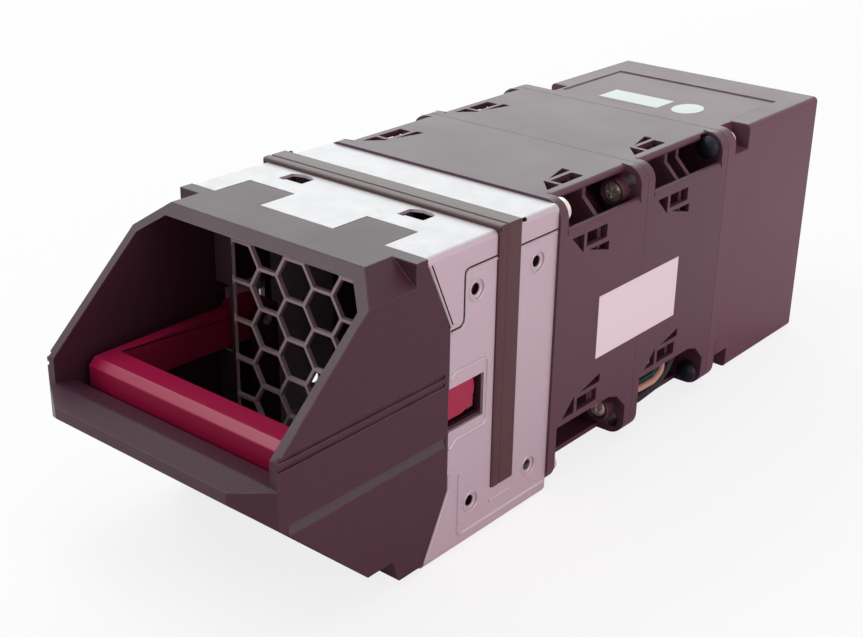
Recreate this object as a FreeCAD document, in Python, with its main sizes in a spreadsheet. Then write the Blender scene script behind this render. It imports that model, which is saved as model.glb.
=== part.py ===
import FreeCAD, Part
import math
import os
import re
import Sketcher
from FreeCAD import Placement, Rotation, Vector

# Server fan module: two 80 mm axial fans, rear housing, steel sleeve and front hood with a pull handle.
# X is across, Y runs from the front hood to the rear connector, Z is up.
# While it is drawn, Y is zero at the sleeve's front edge and Z at the fans' axis.
# Each finished piece is then set down so that the origin is under the middle, on the bench.

SIZES = [
    # fans
    ("fan_width", 80.0, "side of the square fan flanges"),
    ("fan_corner", 5.0, "corner radius of the flanges"),
    ("fan_a_depth", 40.4, "front fan, flange face to flange face"),
    ("fan_b_depth", 42.9, "rear fan, flange face to flange face"),
    ("flange_depth", 3.4, "thickness of each fan flange"),
    ("duct_inset", 1.5, "air duct from the flange edge"),
    ("plate_wall", 1.6, "flat side plates between the flanges"),
    ("upper_recess", 6.7, "open corner recesses in the top, from the flange edge"),
    ("side_recess", 9.3, "open corner recesses in the sides, from the upper flange edge"),
    ("lower_recess", 16.0, "open corner recesses at the bottom, from the flange edge"),
    ("bead", 1.1, "radius of the rounded bars along the open corners"),
    ("arch_length", 9.0, "lower corner gussets, along the fan"),
    ("arch_drop", 6.0, "lower corner gussets, downwards"),
    ("web_wall", 1.6, "corner webs between the flanges"),
    ("web_inset", 0.6, "corner webs stay this far inside the plates"),
    ("web_corner", 12.4, "upper corners of the webs, cut off across the corner"),
    ("web_front", 19.6, "fan face to the corner webs"),
    ("web_step", 6.0, "first to second corner web of the deeper fan"),
    ("barrel_wall", 1.2, "round barrel between the flanges"),
    ("hole_inset", 4.25, "flange holes from the flange edge, so that the pitch is 71.5 mm"),
    ("flange_hole", 2.2, "radius of the flange holes"),
    ("window_front", 12.2, "fan face to the oblong plate windows"),
    ("window_length", 9.3, "oblong plate windows, along the fan"),
    ("window_width", 3.8, "oblong plate windows, across"),
    ("window_rim", 1.8, "plate edge beside the windows"),
    ("window_gap", 1.3, "bars between the windows"),
    ("wedge_length", 5.4, "front triangular windows, along the fan"),
    ("strut_wall", 2.2, "motor struts"),
    ("strut_depth", 7.2, "motor struts, along the fan"),
    ("strut_count", 7, "motor struts in each fan"),
    # motors, from the seam between the two fans outwards
    ("base_start", 0.8, "seam to motor base"),
    ("base_depth", 2.5, "motor base"),
    ("base_radius", 19.5, "motor base"),
    ("board_depth", 1.2, "circuit board"),
    ("board_radius", 16.6, "circuit board"),
    ("tube_length", 26.2, "bearing tube"),
    ("tube_wall", 1.2, "bearing tube"),
    ("shaft_radius", 2.0, "motor shaft"),
    ("shaft_fit", 0.02, "radial clearance of the shaft in its bearings"),
    ("bearing_radius", 5.5, "outside of the ball bearings"),
    ("bearing_width", 4.0, "ball bearing"),
    ("bearing_near", 4.8, "seam to the inner bearing"),
    ("clip_wall", 0.4, "retaining clip"),
    ("core_start", 11.0, "seam to the stator core"),
    ("core_length", 14.0, "stator core"),
    ("core_radius", 13.2, "pole faces of the stator"),
    ("pole_width", 3.0, "stator pole"),
    ("pole_count", 6, "stator poles"),
    ("coil_wall", 1.3, "copper winding round each pole"),
    ("air_gap", 0.6, "stator to magnet"),
    ("magnet_wall", 2.0, "magnet ring"),
    ("cup_wall", 1.0, "steel rotor cup"),
    ("cup_start", 10.2, "seam to the open edge of the rotor cup"),
    ("hub_wall", 1.8, "plastic impeller hub"),
    ("hub_start", 9.6, "seam to the open edge of the hub"),
    ("hub_end", 34.0, "seam to the closed face of the hub"),
    ("hub_edge", 2.0, "rounded rim of the hub"),
    ("tip_gap", 0.9, "blade tip to duct"),
    ("blade_start", 10.4, "seam to the trailing edges"),
    ("blade_length", 22.4, "blades, along the fan"),
    ("blade_wall", 1.5, "blade thickness in the middle"),
    ("blade_camber", 2.6, "height of the blade's curve"),
    ("blade_angle", 40.0, "blade chord, from the axis"),
    ("root_height", 10.0, "blades are drawn from here, inside the hub"),
    ("blades_a", 7, "blades on the front impeller"),
    ("blades_b", 5, "blades on the rear impeller"),
    # steel sleeve
    ("sheet", 0.8, "sheet steel"),
    ("sheet_gap", 0.15, "seam between the two sheets"),
    ("sleeve_inset", 0.75, "fan flange edge to the sleeve's side"),
    ("sleeve_width", "=fan_width - 2 * sleeve_inset", "outside width of the sleeve"),
    ("sleeve_length", 49.8, "sleeve front edge to fan face"),
    ("sleeve_foot", 2.4, "fan flange edge to the sleeve's underside"),
    ("sleeve_drop", "=fan_width / 2 + sleeve_foot", "fan axis to the sleeve's underside"),
    ("bend", 1.6, "outer radius of the sheet bends"),
    ("side_front", 8.3, "front edge of the sleeve's sides"),
    ("shoulder_top", 20.2, "height where the upper diagonal edge starts"),
    ("shoulder_low", 23.4, "depth where the lower diagonal edge starts"),
    ("ear_back", 13.1, "back edge of the top cover's front ears"),
    ("ear_foot", 18.9, "lower edge of those ears"),
    ("flap_foot", 33.0, "lower edge of the top cover's side flaps"),
    ("window_back", 21.5, "back edge of the latch window"),
    ("window_top", 4.0, "latch window above the axis"),
    ("window_low", 7.5, "latch window below the axis"),
    ("notch_depth", 11.8, "tab notches in the top cover"),
    ("notch_width", 16.2, "tab notches"),
    ("notch_left", 22.4, "centre of the left notch from the middle"),
    ("notch_right", 18.1, "centre of the right notch from the middle"),
    ("lance_width", 7.8, "lance slots in the top cover"),
    ("lance_length", 4.9, "lance slots, along the module"),
    ("lance_front", 17.8, "sleeve front edge to the lance slots"),
    ("dimple_hole", 1.5, "radius of the side holes"),
    ("dimple_edge", 0.5, "countersink of the side holes"),
    ("dimple_front", 17.8, "front column of side holes"),
    ("dimple_back", 41.8, "back column of side holes"),
    ("dimple_high", 26.6, "upper row of side holes"),
    ("dimple_low", 30.5, "lower row of side holes"),
    ("tab_size", 11.5, "corner tabs that take the fan screws"),
    # gasket
    ("gasket_front", 25.8, "sleeve front edge to the gasket"),
    ("gasket_width", 9.0, "gasket strip"),
    ("gasket_wall", 1.3, "gasket strip"),
    ("gasket_low", 30.0, "gasket ends below the axis"),
    # hood
    ("hood_wall", 2.55, "hood walls"),
    ("roof_reach", 13.0, "roof front edge ahead of the sleeve"),
    ("wall_reach", 47.5, "side wall front edge ahead of the sleeve"),
    ("lip_reach", 53.3, "lip ahead of the sleeve"),
    ("lip_half", 29.4, "half width of the lip's straight front"),
    ("lip_face", 3.0, "front face of the lip"),
    ("lip_crest", 0.9, "crest of the lip above the axis"),
    ("lip_edge", 0.5, "front edge of the lip below the axis"),
    ("lip_land", 6.0, "sloped land behind the crest"),
    ("rim_foot", 7.6, "height where the slanted rim meets the wall's front edge"),
    ("belly_front", 8.7, "belly below the axis at the wall's front edge"),
    ("belly_back", 19.9, "where the slanted belly ends, ahead of the sleeve"),
    ("belly_drop", 34.2, "belly below the axis"),
    ("foot_front", 11.4, "front of the foot ahead of the sleeve"),
    ("foot_slope", 2.4, "slant of the foot's front face"),
    ("foot_drop", 40.6, "foot below the axis"),
    ("bevel_across", 7.25, "hood corner bevel, across"),
    ("bevel_down", 5.95, "hood corner bevel, downwards"),
    ("bevel_end", 4.0, "bevel ends ahead of the sleeve"),
    ("collar_depth", 24.0, "hood collar inside the sleeve"),
    ("collar_floor", 37.5, "collar floor below the axis"),
    ("groove_width", 0.9, "side grooves of the hood"),
    ("groove_depth", 0.6, "side grooves of the hood"),
    ("groove_high", 8.4, "upper side groove above the axis"),
    ("groove_low", 6.2, "lower side groove above the axis"),
    ("ledge_top", 8.5, "side ledge band below the axis"),
    ("ledge_width", 2.4, "side ledge band"),
    ("hood_fit", 0.1, "hood to sleeve"),
    ("crest_wall", 1.0, "crest of the lip behind its front face"),
    ("land_drop", 0.4, "sloped land ends below the lip's front edge"),
    ("lip_wall", 3.45, "thickness of the hood under the sloped land"),
    ("roof_thinning", 1.0, "hood walls are thinner than this at the corner bevels"),
    ("weld", 0.5, "overlap of pieces that are moulded as one"),
    # grille
    ("grille_front", 4.0, "sleeve front edge to the grille"),
    ("grille_wall", 1.2, "grille thickness"),
    ("grille_side", 6.6, "solid border of the grille, sides"),
    ("grille_rim", 3.2, "solid border of the grille, top and bottom"),
    ("grille_corner", 5.0, "bevelled corners of the grille's opening"),
    ("arm_slot_low", 6.9, "arm slots of the grille below the axis"),
    ("arm_slot_top", 12.2, "arm slots of the grille above the axis"),
    ("cell_pitch", 11.05, "honeycomb cells, flat to flat with one web"),
    ("cell_web", 1.0, "honeycomb web"),
    ("cell_across", 7.4, "first cell column left of the middle"),
    ("cell_up", 19.8, "first cell row above the axis"),
    ("grille_fit", 0.15, "grille to hood"),
    # handle
    ("arm_room", 1.9, "handle arms to the hood's walls"),
    ("arm_wall", 3.2, "handle arms"),
    ("bar_front", 39.0, "front of the grip bar ahead of the sleeve"),
    ("bar_depth", 7.8, "grip bar, front to back"),
    ("bar_top", 5.4, "grip bar above the axis"),
    ("bar_low", 2.2, "grip bar below the axis"),
    ("bar_bevel", 1.9, "bevelled front edge of the grip bar"),
    ("arm_low", 4.3, "underside of the arms at the bar"),
    ("pivot_back", 14.5, "handle pivot behind the sleeve front edge"),
    ("boss_radius", 5.5, "round rear ends of the arms"),
    ("boss_reach", 2.9, "latch pads outside the arms"),
    ("pad_front", 8.0, "latch pad ahead of the pivot"),
    ("pad_face", 1.0, "latch pad outside the end of its pin"),
    ("pad_room", 1.4, "free room below and behind the latch pads"),
    ("pad_swing", 3.6, "free room above the latch pads, which rise with the handle"),
    ("pad_fit", 0.2, "latch pads to the skin of the hood"),
    ("pin_radius", 1.5, "pivot pins"),
    ("pin_fit", 0.05, "radial clearance of the handle on its pins"),
    ("post_wall", 2.8, "pivot posts of the hood"),
    ("post_half", 3.9, "pivot posts, pin to edge"),
    ("post_fit", 0.3, "side clearance of the handle arms"),
    ("stop_length", 6.0, "stop lugs under the arms"),
    ("stop_height", 3.0, "stop lugs under the arms"),
    ("stop_fit", 0.3, "handle arms above their stop lugs"),
    # rear housing
    ("housing_flange", 4.5, "flange of the rear housing"),
    ("housing_step", 3.5, "flange edge to the housing's sides"),
    ("housing_drop", 2.4, "flange edge to the housing's top"),
    ("housing_length", 63.7, "rear fan face to the end of the housing"),
    ("housing_wall", 2.4, "rear housing walls"),
    ("housing_edge", 1.5, "rounded long edges"),
    ("pocket_length", 14.6, "corner pockets behind the flange"),
    ("screw_room", 6.9, "room behind the lower screws, along the module"),
    ("notch_rise", 6.7, "lower corner pockets, from the housing's underside"),
    ("pocket_room", 2.9, "screw pockets, from the screw head to the duct side"),
    ("throat_corner", 16.0, "cut corners of the housing's throat"),
    ("panel_depth", 0.4, "sunk label panel on the top"),
    ("panel_front", 10.5, "housing flange to the label panel"),
    ("panel_length", 34.0, "label panel, along the module"),
    ("panel_half", 29.0, "half width of the label panel"),
    # connector
    ("plug_width", 26.0, "blind-mate connector"),
    ("plug_height", 9.0, "blind-mate connector"),
    ("plug_depth", 14.0, "blind-mate connector"),
    ("plug_wall", 1.4, "connector shell"),
    ("plug_offset", 16.0, "connector centre left of the middle"),
    ("contact_size", 0.9, "square contacts"),
    ("contact_pitch", 3.2, "contacts in a row"),
    ("contact_count", 6, "contacts"),
    ("contact_reach", 8.0, "contacts above the connector floor"),
    # screws, plugs and leads
    ("joint_inset", 7.6, "screws that join the fans, from the flange edge"),
    ("boss_wall", 1.1, "round bosses about those screws' heads"),
    ("boss_gap", 0.3, "bosses to screw heads"),
    ("boss_height", 3.0, "round bosses ahead of the flange"),
    ("screw_radius", 1.9, "fan screw shank"),
    ("screw_head", 2.7, "fan screw head"),
    ("sleeve_head", 3.3, "head of the screws that hold the sleeve"),
    ("screw_head_depth", 2.2, "fan screw head"),
    ("screw_length", 6.4, "fan screw under the head"),
    ("rubber_head", 3.9, "rubber plug heads"),
    ("rubber_depth", 3.2, "rubber plug heads"),
    ("lead_radius", 1.5, "motor lead bundle"),
    ("lead_fit", 0.35, "lead bundle in its notches"),
    ("lead_inset", 8.0, "lead bundle from the right flange edge"),
    ("lead_rise", 13.3, "lead bundle from the lower flange edge"),
    ("lead_straight", 7.0, "straight run of the leads behind the housing's throat"),
    ("lead_landing", 16.8, "straight run of the leads into the connector"),
    # labels
    ("label_wall", 0.15, "paper labels"),
    ("side_label_length", 40.0, "side label, along the module"),
    ("side_label_height", 18.1, "side label"),
    ("side_label_front", 69.5, "sleeve front edge to the side label"),
    ("side_label_low", 9.3, "side label below the axis"),
]
NAMES = {name for name, number, note in SIZES}

doc = FreeCAD.newDocument("server_fan_module")
sheet = doc.addObject("Spreadsheet::Sheet", "Sizes")
for row, (name, number, note) in enumerate(SIZES, start=1):
    sheet.set(f"A{row}", note)
    sheet.set(f"B{row}", str(number))
    sheet.setAlias(f"B{row}", name)
doc.recompute()

FAN_HALF = "(fan_width / 2)"
BORE = "(fan_width / 2 - duct_inset)"
UPPER = "(fan_width / 2 - upper_recess)"
SIDE_UP = "(fan_width / 2 - side_recess)"
LOWER = "(fan_width / 2 - lower_recess)"
SLEEVE_HALF = "(sleeve_width / 2)"
INNER_HALF = "(sleeve_width / 2 - sheet)"
HOOD_INNER = "(sleeve_width / 2 - hood_wall)"
FAN_A = "sleeve_length"
SEAM = "(sleeve_length + fan_a_depth)"
FAN_B_BACK = "(sleeve_length + fan_a_depth + fan_b_depth)"
HOUSING_FLANGE_BACK = f"({FAN_B_BACK} + housing_flange)"
MODULE_BACK = f"({FAN_B_BACK} + housing_length)"
HANDLE_HALF = "(sleeve_width / 2 - hood_wall - arm_room)"
SCREW_AT = "(fan_width / 2 - hole_inset)"
JOIN_AT = "(fan_width / 2 - joint_inset)"
HOUSING_HALF = "(fan_width / 2 - housing_step)"
HOUSING_TOP = "(fan_width / 2 - housing_drop)"
LEAD_X = "(fan_width / 2 - lead_inset)"
LEAD_Z = "(lead_rise - fan_width / 2)"
PIVOT_Y = "pivot_back"
PIVOT_Z = "0"
ALONG_Y = Rotation(Vector(1, 0, 0), -90)
ALONG_X = Rotation(Vector(0, 1, 0), 90)
finished = []


def bound(text):
    """Expression text with the sheet's name before each size."""
    return re.sub(r"[a-z][a-z_]+", lambda word: "Sizes." + word[0] if word[0] in NAMES else word[0], str(text))


def value(text):
    """Number that an expression of sizes has now."""
    return float(sheet.evalExpression(bound(text)))


def drive(thing, prop, text):
    """Bind one property of an object to the sheet."""
    thing.setExpression(prop, bound(text))


def set_down(piece, label):
    """Name a finished piece and move it to the bench frame."""
    piece.Label = label
    drive(piece, "Placement.Base.y", f"(lip_reach - {MODULE_BACK}) / 2")
    drive(piece, "Placement.Base.z", "sleeve_drop")
    finished.append(piece)
    return piece


# ---- sketches, pads and pockets -------------------------------------------------------------

def draw(sketch, outlines):
    """Fill a sketch with closed outlines; every corner and radius is bound to the sheet."""
    for outline in outlines:
        if outline[0] == "circle":
            word, across, along, radius = outline
            centre = Vector(value(across), value(along), 0)
            curve = sketch.addGeometry(Part.Circle(centre, Vector(0, 0, 1), value(radius)), False)
            place = [("DistanceX", 3, across, centre.x), ("DistanceY", 3, along, centre.y)]
            number = sketch.addConstraint(Sketcher.Constraint("Radius", curve, value(radius)))
            drive(sketch, f"Constraints[{number}]", radius)
            corners = [(curve, place)]
        else:
            points = [Vector(value(a), value(b), 0) for a, b in outline]
            lines = [Part.LineSegment(points[k - 1], points[k]) for k in range(len(points))]
            first = sketch.addGeometry(lines, False)[0]
            for k in range(len(points)):
                following = first + (k + 1) % len(points)
                sketch.addConstraint(Sketcher.Constraint("Coincident", first + k, 2, following, 1))
            corners = []
            for k, (across, along) in enumerate(outline):
                place = [("DistanceX", 2, across, points[k].x), ("DistanceY", 2, along, points[k].y)]
                corners.append((first + k, place))
        for curve, place in corners:
            for kind, end, text, number in place:
                index = sketch.addConstraint(Sketcher.Constraint(kind, -1, 1, curve, end, number))
                drive(sketch, f"Constraints[{index}]", text)


def new_body(name):
    return doc.addObject("PartDesign::Body", name)


def origin_part(body, role):
    """The body's own origin plane or axis with this role."""
    return [part for part in body.Origin.OriginFeatures if part.Role == role][0]


def sketch_in(body, role, station, outlines):
    """Sketch on one of the body's origin planes, shifted along that plane's normal."""
    sketch = body.newObject("Sketcher::SketchObject", "Profile")
    sketch.AttachmentSupport = [(origin_part(body, role), "")]
    sketch.MapMode = "FlatFace"
    drive(sketch, "AttachmentOffset.Base.z", station)
    draw(sketch, outlines)
    return sketch


def pad(body, axis, outlines, start, end):
    """Add material from start to end along an axis. Outlines are in XY, XZ or YZ coordinates."""
    planes = {"x": ("YZ_Plane", start), "y": ("XZ_Plane", f"-({end})"), "z": ("XY_Plane", start)}
    role, station = planes[axis]
    feature = body.newObject("PartDesign::Pad", "Pad")
    feature.Profile = sketch_in(body, role, station, outlines)
    body.Tip = feature
    drive(feature, "Length", f"({end}) - ({start})")
    doc.recompute()
    return feature


def pocket(body, axis, outlines, start, end):
    """Cut material from start to end along an axis, and make sure that something was cut."""
    before = body.Shape.Volume
    planes = {"x": ("YZ_Plane", end), "y": ("XZ_Plane", f"-({start})"), "z": ("XY_Plane", end)}
    role, station = planes[axis]
    feature = body.newObject("PartDesign::Pocket", "Pocket")
    feature.Profile = sketch_in(body, role, station, outlines)
    body.Tip = feature
    drive(feature, "Length", f"({end}) - ({start})")
    doc.recompute()
    if body.Shape.Volume > before - 1e-6:
        raise RuntimeError(f"{body.Label}: a pocket along {axis} from {start} cut nothing")
    return feature


def turn(body, outline):
    """Revolve a (radius, station) outline about the module's axis."""
    feature = body.newObject("PartDesign::Revolution", "Revolution")
    feature.Profile = sketch_in(body, "XY_Plane", "0", [outline])
    feature.ReferenceAxis = (origin_part(body, "Y_Axis"), [""])
    feature.Angle = 360
    body.Tip = feature
    doc.recompute()
    return feature


def finish_edges(body, kind, size, chosen):
    """Fillet or chamfer the edges that a test picks on the body's last feature."""
    tip = body.Tip
    names = [f"Edge{n}" for n, edge in enumerate(tip.Shape.Edges, start=1) if chosen(edge)]
    if not names:
        raise RuntimeError(f"{body.Label}: no edge to finish")
    feature = body.newObject(f"PartDesign::{kind}", kind)
    feature.Base = (tip, names)
    drive(feature, "Radius" if kind == "Fillet" else "Size", size)
    body.Tip = feature
    doc.recompute()
    return feature


def repeat_round(body, feature, count):
    """Copy the last feature round the module's axis."""
    pattern = body.newObject("PartDesign::PolarPattern", "PolarPattern")
    pattern.Originals = [feature]
    pattern.Axis = (origin_part(body, "Y_Axis"), [""])
    pattern.Angle = 360
    drive(pattern, "Occurrences", count)
    body.Tip = pattern
    doc.recompute()
    return pattern


def along(edge, axis):
    """True for a straight edge parallel to an axis."""
    if edge.Curve.TypeId != "Part::GeomLine":
        return False
    return abs(abs(edge.Curve.Direction.dot(axis)) - 1) < 1e-6


def box_outline(left, right, low, high):
    return [(left, low), (right, low), (right, high), (left, high)]


def four(across, along_z, radius):
    """The same circle in all four corners."""
    signs = [(-1, -1), (1, -1), (1, 1), (-1, 1)]
    return [("circle", f"{i} * ({across})", f"{k} * ({along_z})", radius) for i, k in signs]


def away(seam, facing, near, far):
    """Start and end along Y of something that lies near..far from the seam, on one side of it."""
    if facing > 0:
        return f"({seam} + ({near}))", f"({seam} + ({far}))"
    return f"({seam} - ({far}))", f"({seam} - ({near}))"


# ---- Part workbench pieces ----------------------------------------------------------------------

def prism(name, axis, outlines, start, end):
    """Part extrusion of a free sketch from start to end along an axis."""
    turns = {"x": Rotation(Vector(1, 1, 1), 120), "y": Rotation(Vector(1, 0, 0), 90), "z": Rotation()}
    sketch = doc.addObject("Sketcher::SketchObject", name + "_sketch")
    sketch.Placement = Placement(Vector(), turns[axis])
    draw(sketch, outlines)
    drive(sketch, f"Placement.Base.{axis}", end if axis == "y" else start)
    solid = doc.addObject("Part::Extrusion", name)
    solid.Base = sketch
    solid.DirMode = "Normal"
    solid.Solid = True
    drive(solid, "LengthFwd", f"({end}) - ({start})")
    return solid


def rod(name, turned, radius, start, end, across="0", along_z="0"):
    """Cylinder along Y, or along X when turned says so."""
    solid = doc.addObject("Part::Cylinder", name)
    solid.Placement = Placement(Vector(), turned)
    drive(solid, "Radius", radius)
    drive(solid, "Height", f"({end}) - ({start})")
    long_axis, cross_axis = ("y", "x") if turned is ALONG_Y else ("x", "y")
    drive(solid, f"Placement.Base.{long_axis}", start)
    drive(solid, f"Placement.Base.{cross_axis}", across)
    drive(solid, "Placement.Base.z", along_z)
    return solid


def block(name, left, right, front, back, low, high):
    solid = doc.addObject("Part::Box", name)
    drive(solid, "Length", f"({right}) - ({left})")
    drive(solid, "Width", f"({back}) - ({front})")
    drive(solid, "Height", f"({high}) - ({low})")
    drive(solid, "Placement.Base.x", left)
    drive(solid, "Placement.Base.y", front)
    drive(solid, "Placement.Base.z", low)
    return solid


def cut(name, base, tool):
    result = doc.addObject("Part::Cut", name)
    result.Base = base
    result.Tool = tool
    return result


def common(name, base, tool):
    result = doc.addObject("Part::Common", name)
    result.Base = base
    result.Tool = tool
    return result


def fuse(name, pieces):
    result = doc.addObject("Part::MultiFuse", name)
    result.Shapes = pieces
    result.Refine = True
    return result


def group(name, pieces):
    result = doc.addObject("Part::Compound", name)
    result.Links = pieces
    return result


# ---- fan frames -------------------------------------------------------------------------------

SKIN = f"({FAN_HALF} - plate_wall)"
OUTSIDE = f"({FAN_HALF} + 1)"


def flange(body, start, end):
    """Rounded square plate round the fan duct."""
    pad(body, "y", [box_outline(f"-{FAN_HALF}", FAN_HALF, f"-{FAN_HALF}", FAN_HALF)], start, end)
    low, high = value(start) - 0.01, value(end) + 0.01
    half = value(FAN_HALF)

    def corner(edge):
        middle = edge.CenterOfMass
        here = low < middle.y < high and abs(abs(middle.x) - half) < 0.01 and abs(abs(middle.z) - half) < 0.01
        return here and along(edge, Vector(0, 1, 0))

    finish_edges(body, "Fillet", "fan_corner", corner)


def window_set(front, reach, sides):
    """One oblong and two triangular windows beside the edge of a side plate."""
    rim, inner = f"({reach} - window_rim)", f"({reach} - window_rim - window_width)"
    start, end = f"({front} + window_front)", f"({front} + window_front + window_length)"
    near, far, low = f"({start} - window_gap)", f"({end} + window_gap)", f"({inner} - window_gap)"
    oblong = [(inner, start), (rim, start), (rim, end), (inner, end)]
    front_wedge = [(rim, f"{near} - wedge_length"), (rim, near), (low, near)]
    rear_wedge = [(low, f"{start} + window_gap"), (low, far), (f"{low} - window_width / 1.5", far)]
    return [[(f"{side} * ({a})", b) for a, b in outline]
            for side in sides for outline in (oblong, front_wedge, rear_wedge)]


def corner_webs(body, start):
    """Plate round the duct that stiffens the four open corners."""
    edge, diagonal = f"({FAN_HALF} - web_inset)", "(fan_width - web_corner)"
    top, side, low = f"({UPPER} - web_inset)", f"({SIDE_UP} - web_inset)", f"({LOWER} - web_inset)"
    right = [(low, f"-{edge}"), (edge, f"-{low}"), (edge, side), (f"({diagonal} - {side})", side),
             (top, f"({diagonal} - {top})"), (top, edge)]
    left = [(f"-{across}", height) for across, height in reversed(right)]
    pad(body, "y", [right + left], start, f"({start} + web_wall)")


def fan_frame(label, front, back, facing):
    """Square frame: two flanges, a round barrel, side plates with windows, corner webs and motor struts."""
    body = new_body(label)
    pad(body, "y", [("circle", "0", "0", f"{BORE} + barrel_wall")], front, back)
    waist = (f"({front} + flange_depth)", f"({back} - flange_depth)")
    flange(body, front, waist[0])
    flange(body, waist[1], back)
    plates = [box_outline(f"-{UPPER}", UPPER, SKIN, FAN_HALF),
              box_outline(f"-{LOWER}", LOWER, f"-{FAN_HALF}", f"-{SKIN}"),
              box_outline(f"-{FAN_HALF}", f"-{SKIN}", f"-{LOWER}", SIDE_UP),
              box_outline(SKIN, FAN_HALF, f"-{LOWER}", SIDE_UP)]
    pad(body, "y", plates, *waist)
    corner_webs(body, f"({front} + web_front)")
    if facing > 0:
        corner_webs(body, f"({front} + web_front + web_step)")
    edge = f"({FAN_HALF} - bead)"
    beads = [("circle", f"{side} * {across}", height, "bead")
             for side in (-1, 1) for across, height in ((UPPER, edge), (edge, SIDE_UP))]
    pad(body, "y", beads, *waist)
    arch = [(f"{waist[1]} - arch_length", f"1 - {LOWER}"), (f"{waist[1]} - arch_length", f"-{LOWER}"),
            (f"{waist[1]} - arch_length / 2", f"-{LOWER} - arch_drop / 4"),
            (waist[1], f"-{LOWER} - arch_drop"), (waist[1], f"1 - {LOWER}")]
    for start, end in ((f"-{FAN_HALF}", f"-{SKIN}"), (SKIN, FAN_HALF)):
        pad(body, "x", [arch], start, end)

    pocket(body, "y", [("circle", "0", "0", BORE)], front, back)
    for near, far in ((front, waist[0]), (waist[1], back)):
        pocket(body, "y", four(SCREW_AT, SCREW_AT, "flange_hole"), near, far)
    pocket(body, "y", [("circle", LEAD_X, LEAD_Z, "lead_radius + lead_fit")], front, back)
    low_skin = f"({SKIN} - 0.2)"
    pocket(body, "z", window_set(front, UPPER, (-1, 1)), low_skin, OUTSIDE)
    pocket(body, "z", window_set(front, LOWER, (-1, 1)), f"-{OUTSIDE}", f"-{low_skin}")
    side_windows = [[(b, a) for a, b in outline] for outline in
                    window_set(front, SIDE_UP, (1,)) + window_set(front, LOWER, (-1,))]
    pocket(body, "x", side_windows, low_skin, OUTSIDE)
    pocket(body, "x", side_windows, f"-{OUTSIDE}", f"-{low_skin}")

    # Screws beside the flange holes join the two fans. Their heads stand in open bosses on the front fan.
    # The rounded bars stop short of the sleeve's screws and of the rubber plugs.
    if facing < 0:
        room = four(SCREW_AT, SCREW_AT, "sleeve_head + boss_gap")
        pocket(body, "y", room, waist[0], f"({waist[0]} + screw_head_depth + boss_gap)")
        boss = f"({waist[1]} - boss_height)"
        pad(body, "y", four(JOIN_AT, JOIN_AT, "screw_head + boss_wall"), boss, waist[1])
        pocket(body, "y", four(JOIN_AT, JOIN_AT, "screw_head + boss_gap"), boss, waist[1])
        pocket(body, "y", four(JOIN_AT, JOIN_AT, "screw_radius"), waist[1], back)
    else:
        room = four(SCREW_AT, SCREW_AT, "rubber_head + boss_gap")
        pocket(body, "y", room, f"({waist[1]} - rubber_depth - boss_gap)", waist[1])
        pocket(body, "y", four(JOIN_AT, JOIN_AT, "screw_radius"), front, waist[0])

    # Motor base on radial struts, next to the other fan.
    base = away(SEAM, facing, "base_start", "base_start + base_depth")
    reach = away(SEAM, facing, "base_start", "base_start + strut_depth")
    strut = box_outline("-strut_wall / 2", "strut_wall / 2", "base_radius - 2", f"{BORE} + barrel_wall / 2")
    pad(body, "y", [strut], *reach)
    repeat_round(body, body.Tip, "strut_count")
    pad(body, "y", [("circle", "0", "0", "base_radius")], *base)
    return set_down(body, label)


fan_frame("fan_a_frame", FAN_A, SEAM, -1)
fan_frame("fan_b_frame", SEAM, FAN_B_BACK, 1)


# ---- motors and impellers -----------------------------------------------------------------------

def ring_outline(inner, outer, ends):
    """Radius and station outline of a plain ring."""
    return [(inner, ends[0]), (outer, ends[0]), (outer, ends[1]), (inner, ends[1])]


def turned(label, outline):
    body = new_body(label)
    turn(body, outline)
    return set_down(body, label)


BASE_TOP = "(base_start + base_depth)"
TUBE_END = f"({BASE_TOP} + tube_length)"
TUBE_OUTER = "(bearing_radius + tube_wall)"
CORE_END = "(core_start + core_length)"
MAGNET_INNER = "(core_radius + air_gap)"
CUP_INNER = "(core_radius + air_gap + magnet_wall)"
CUP_OUTER = "(core_radius + air_gap + magnet_wall + cup_wall)"
CUP_END = "(hub_end - hub_wall)"
HUB_OUTER = "(core_radius + air_gap + magnet_wall + cup_wall + hub_wall)"
TIP_RADIUS = f"({BORE} - tip_gap)"
CLIP_END = "(bearing_near - clip_wall / 4)"


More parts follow.
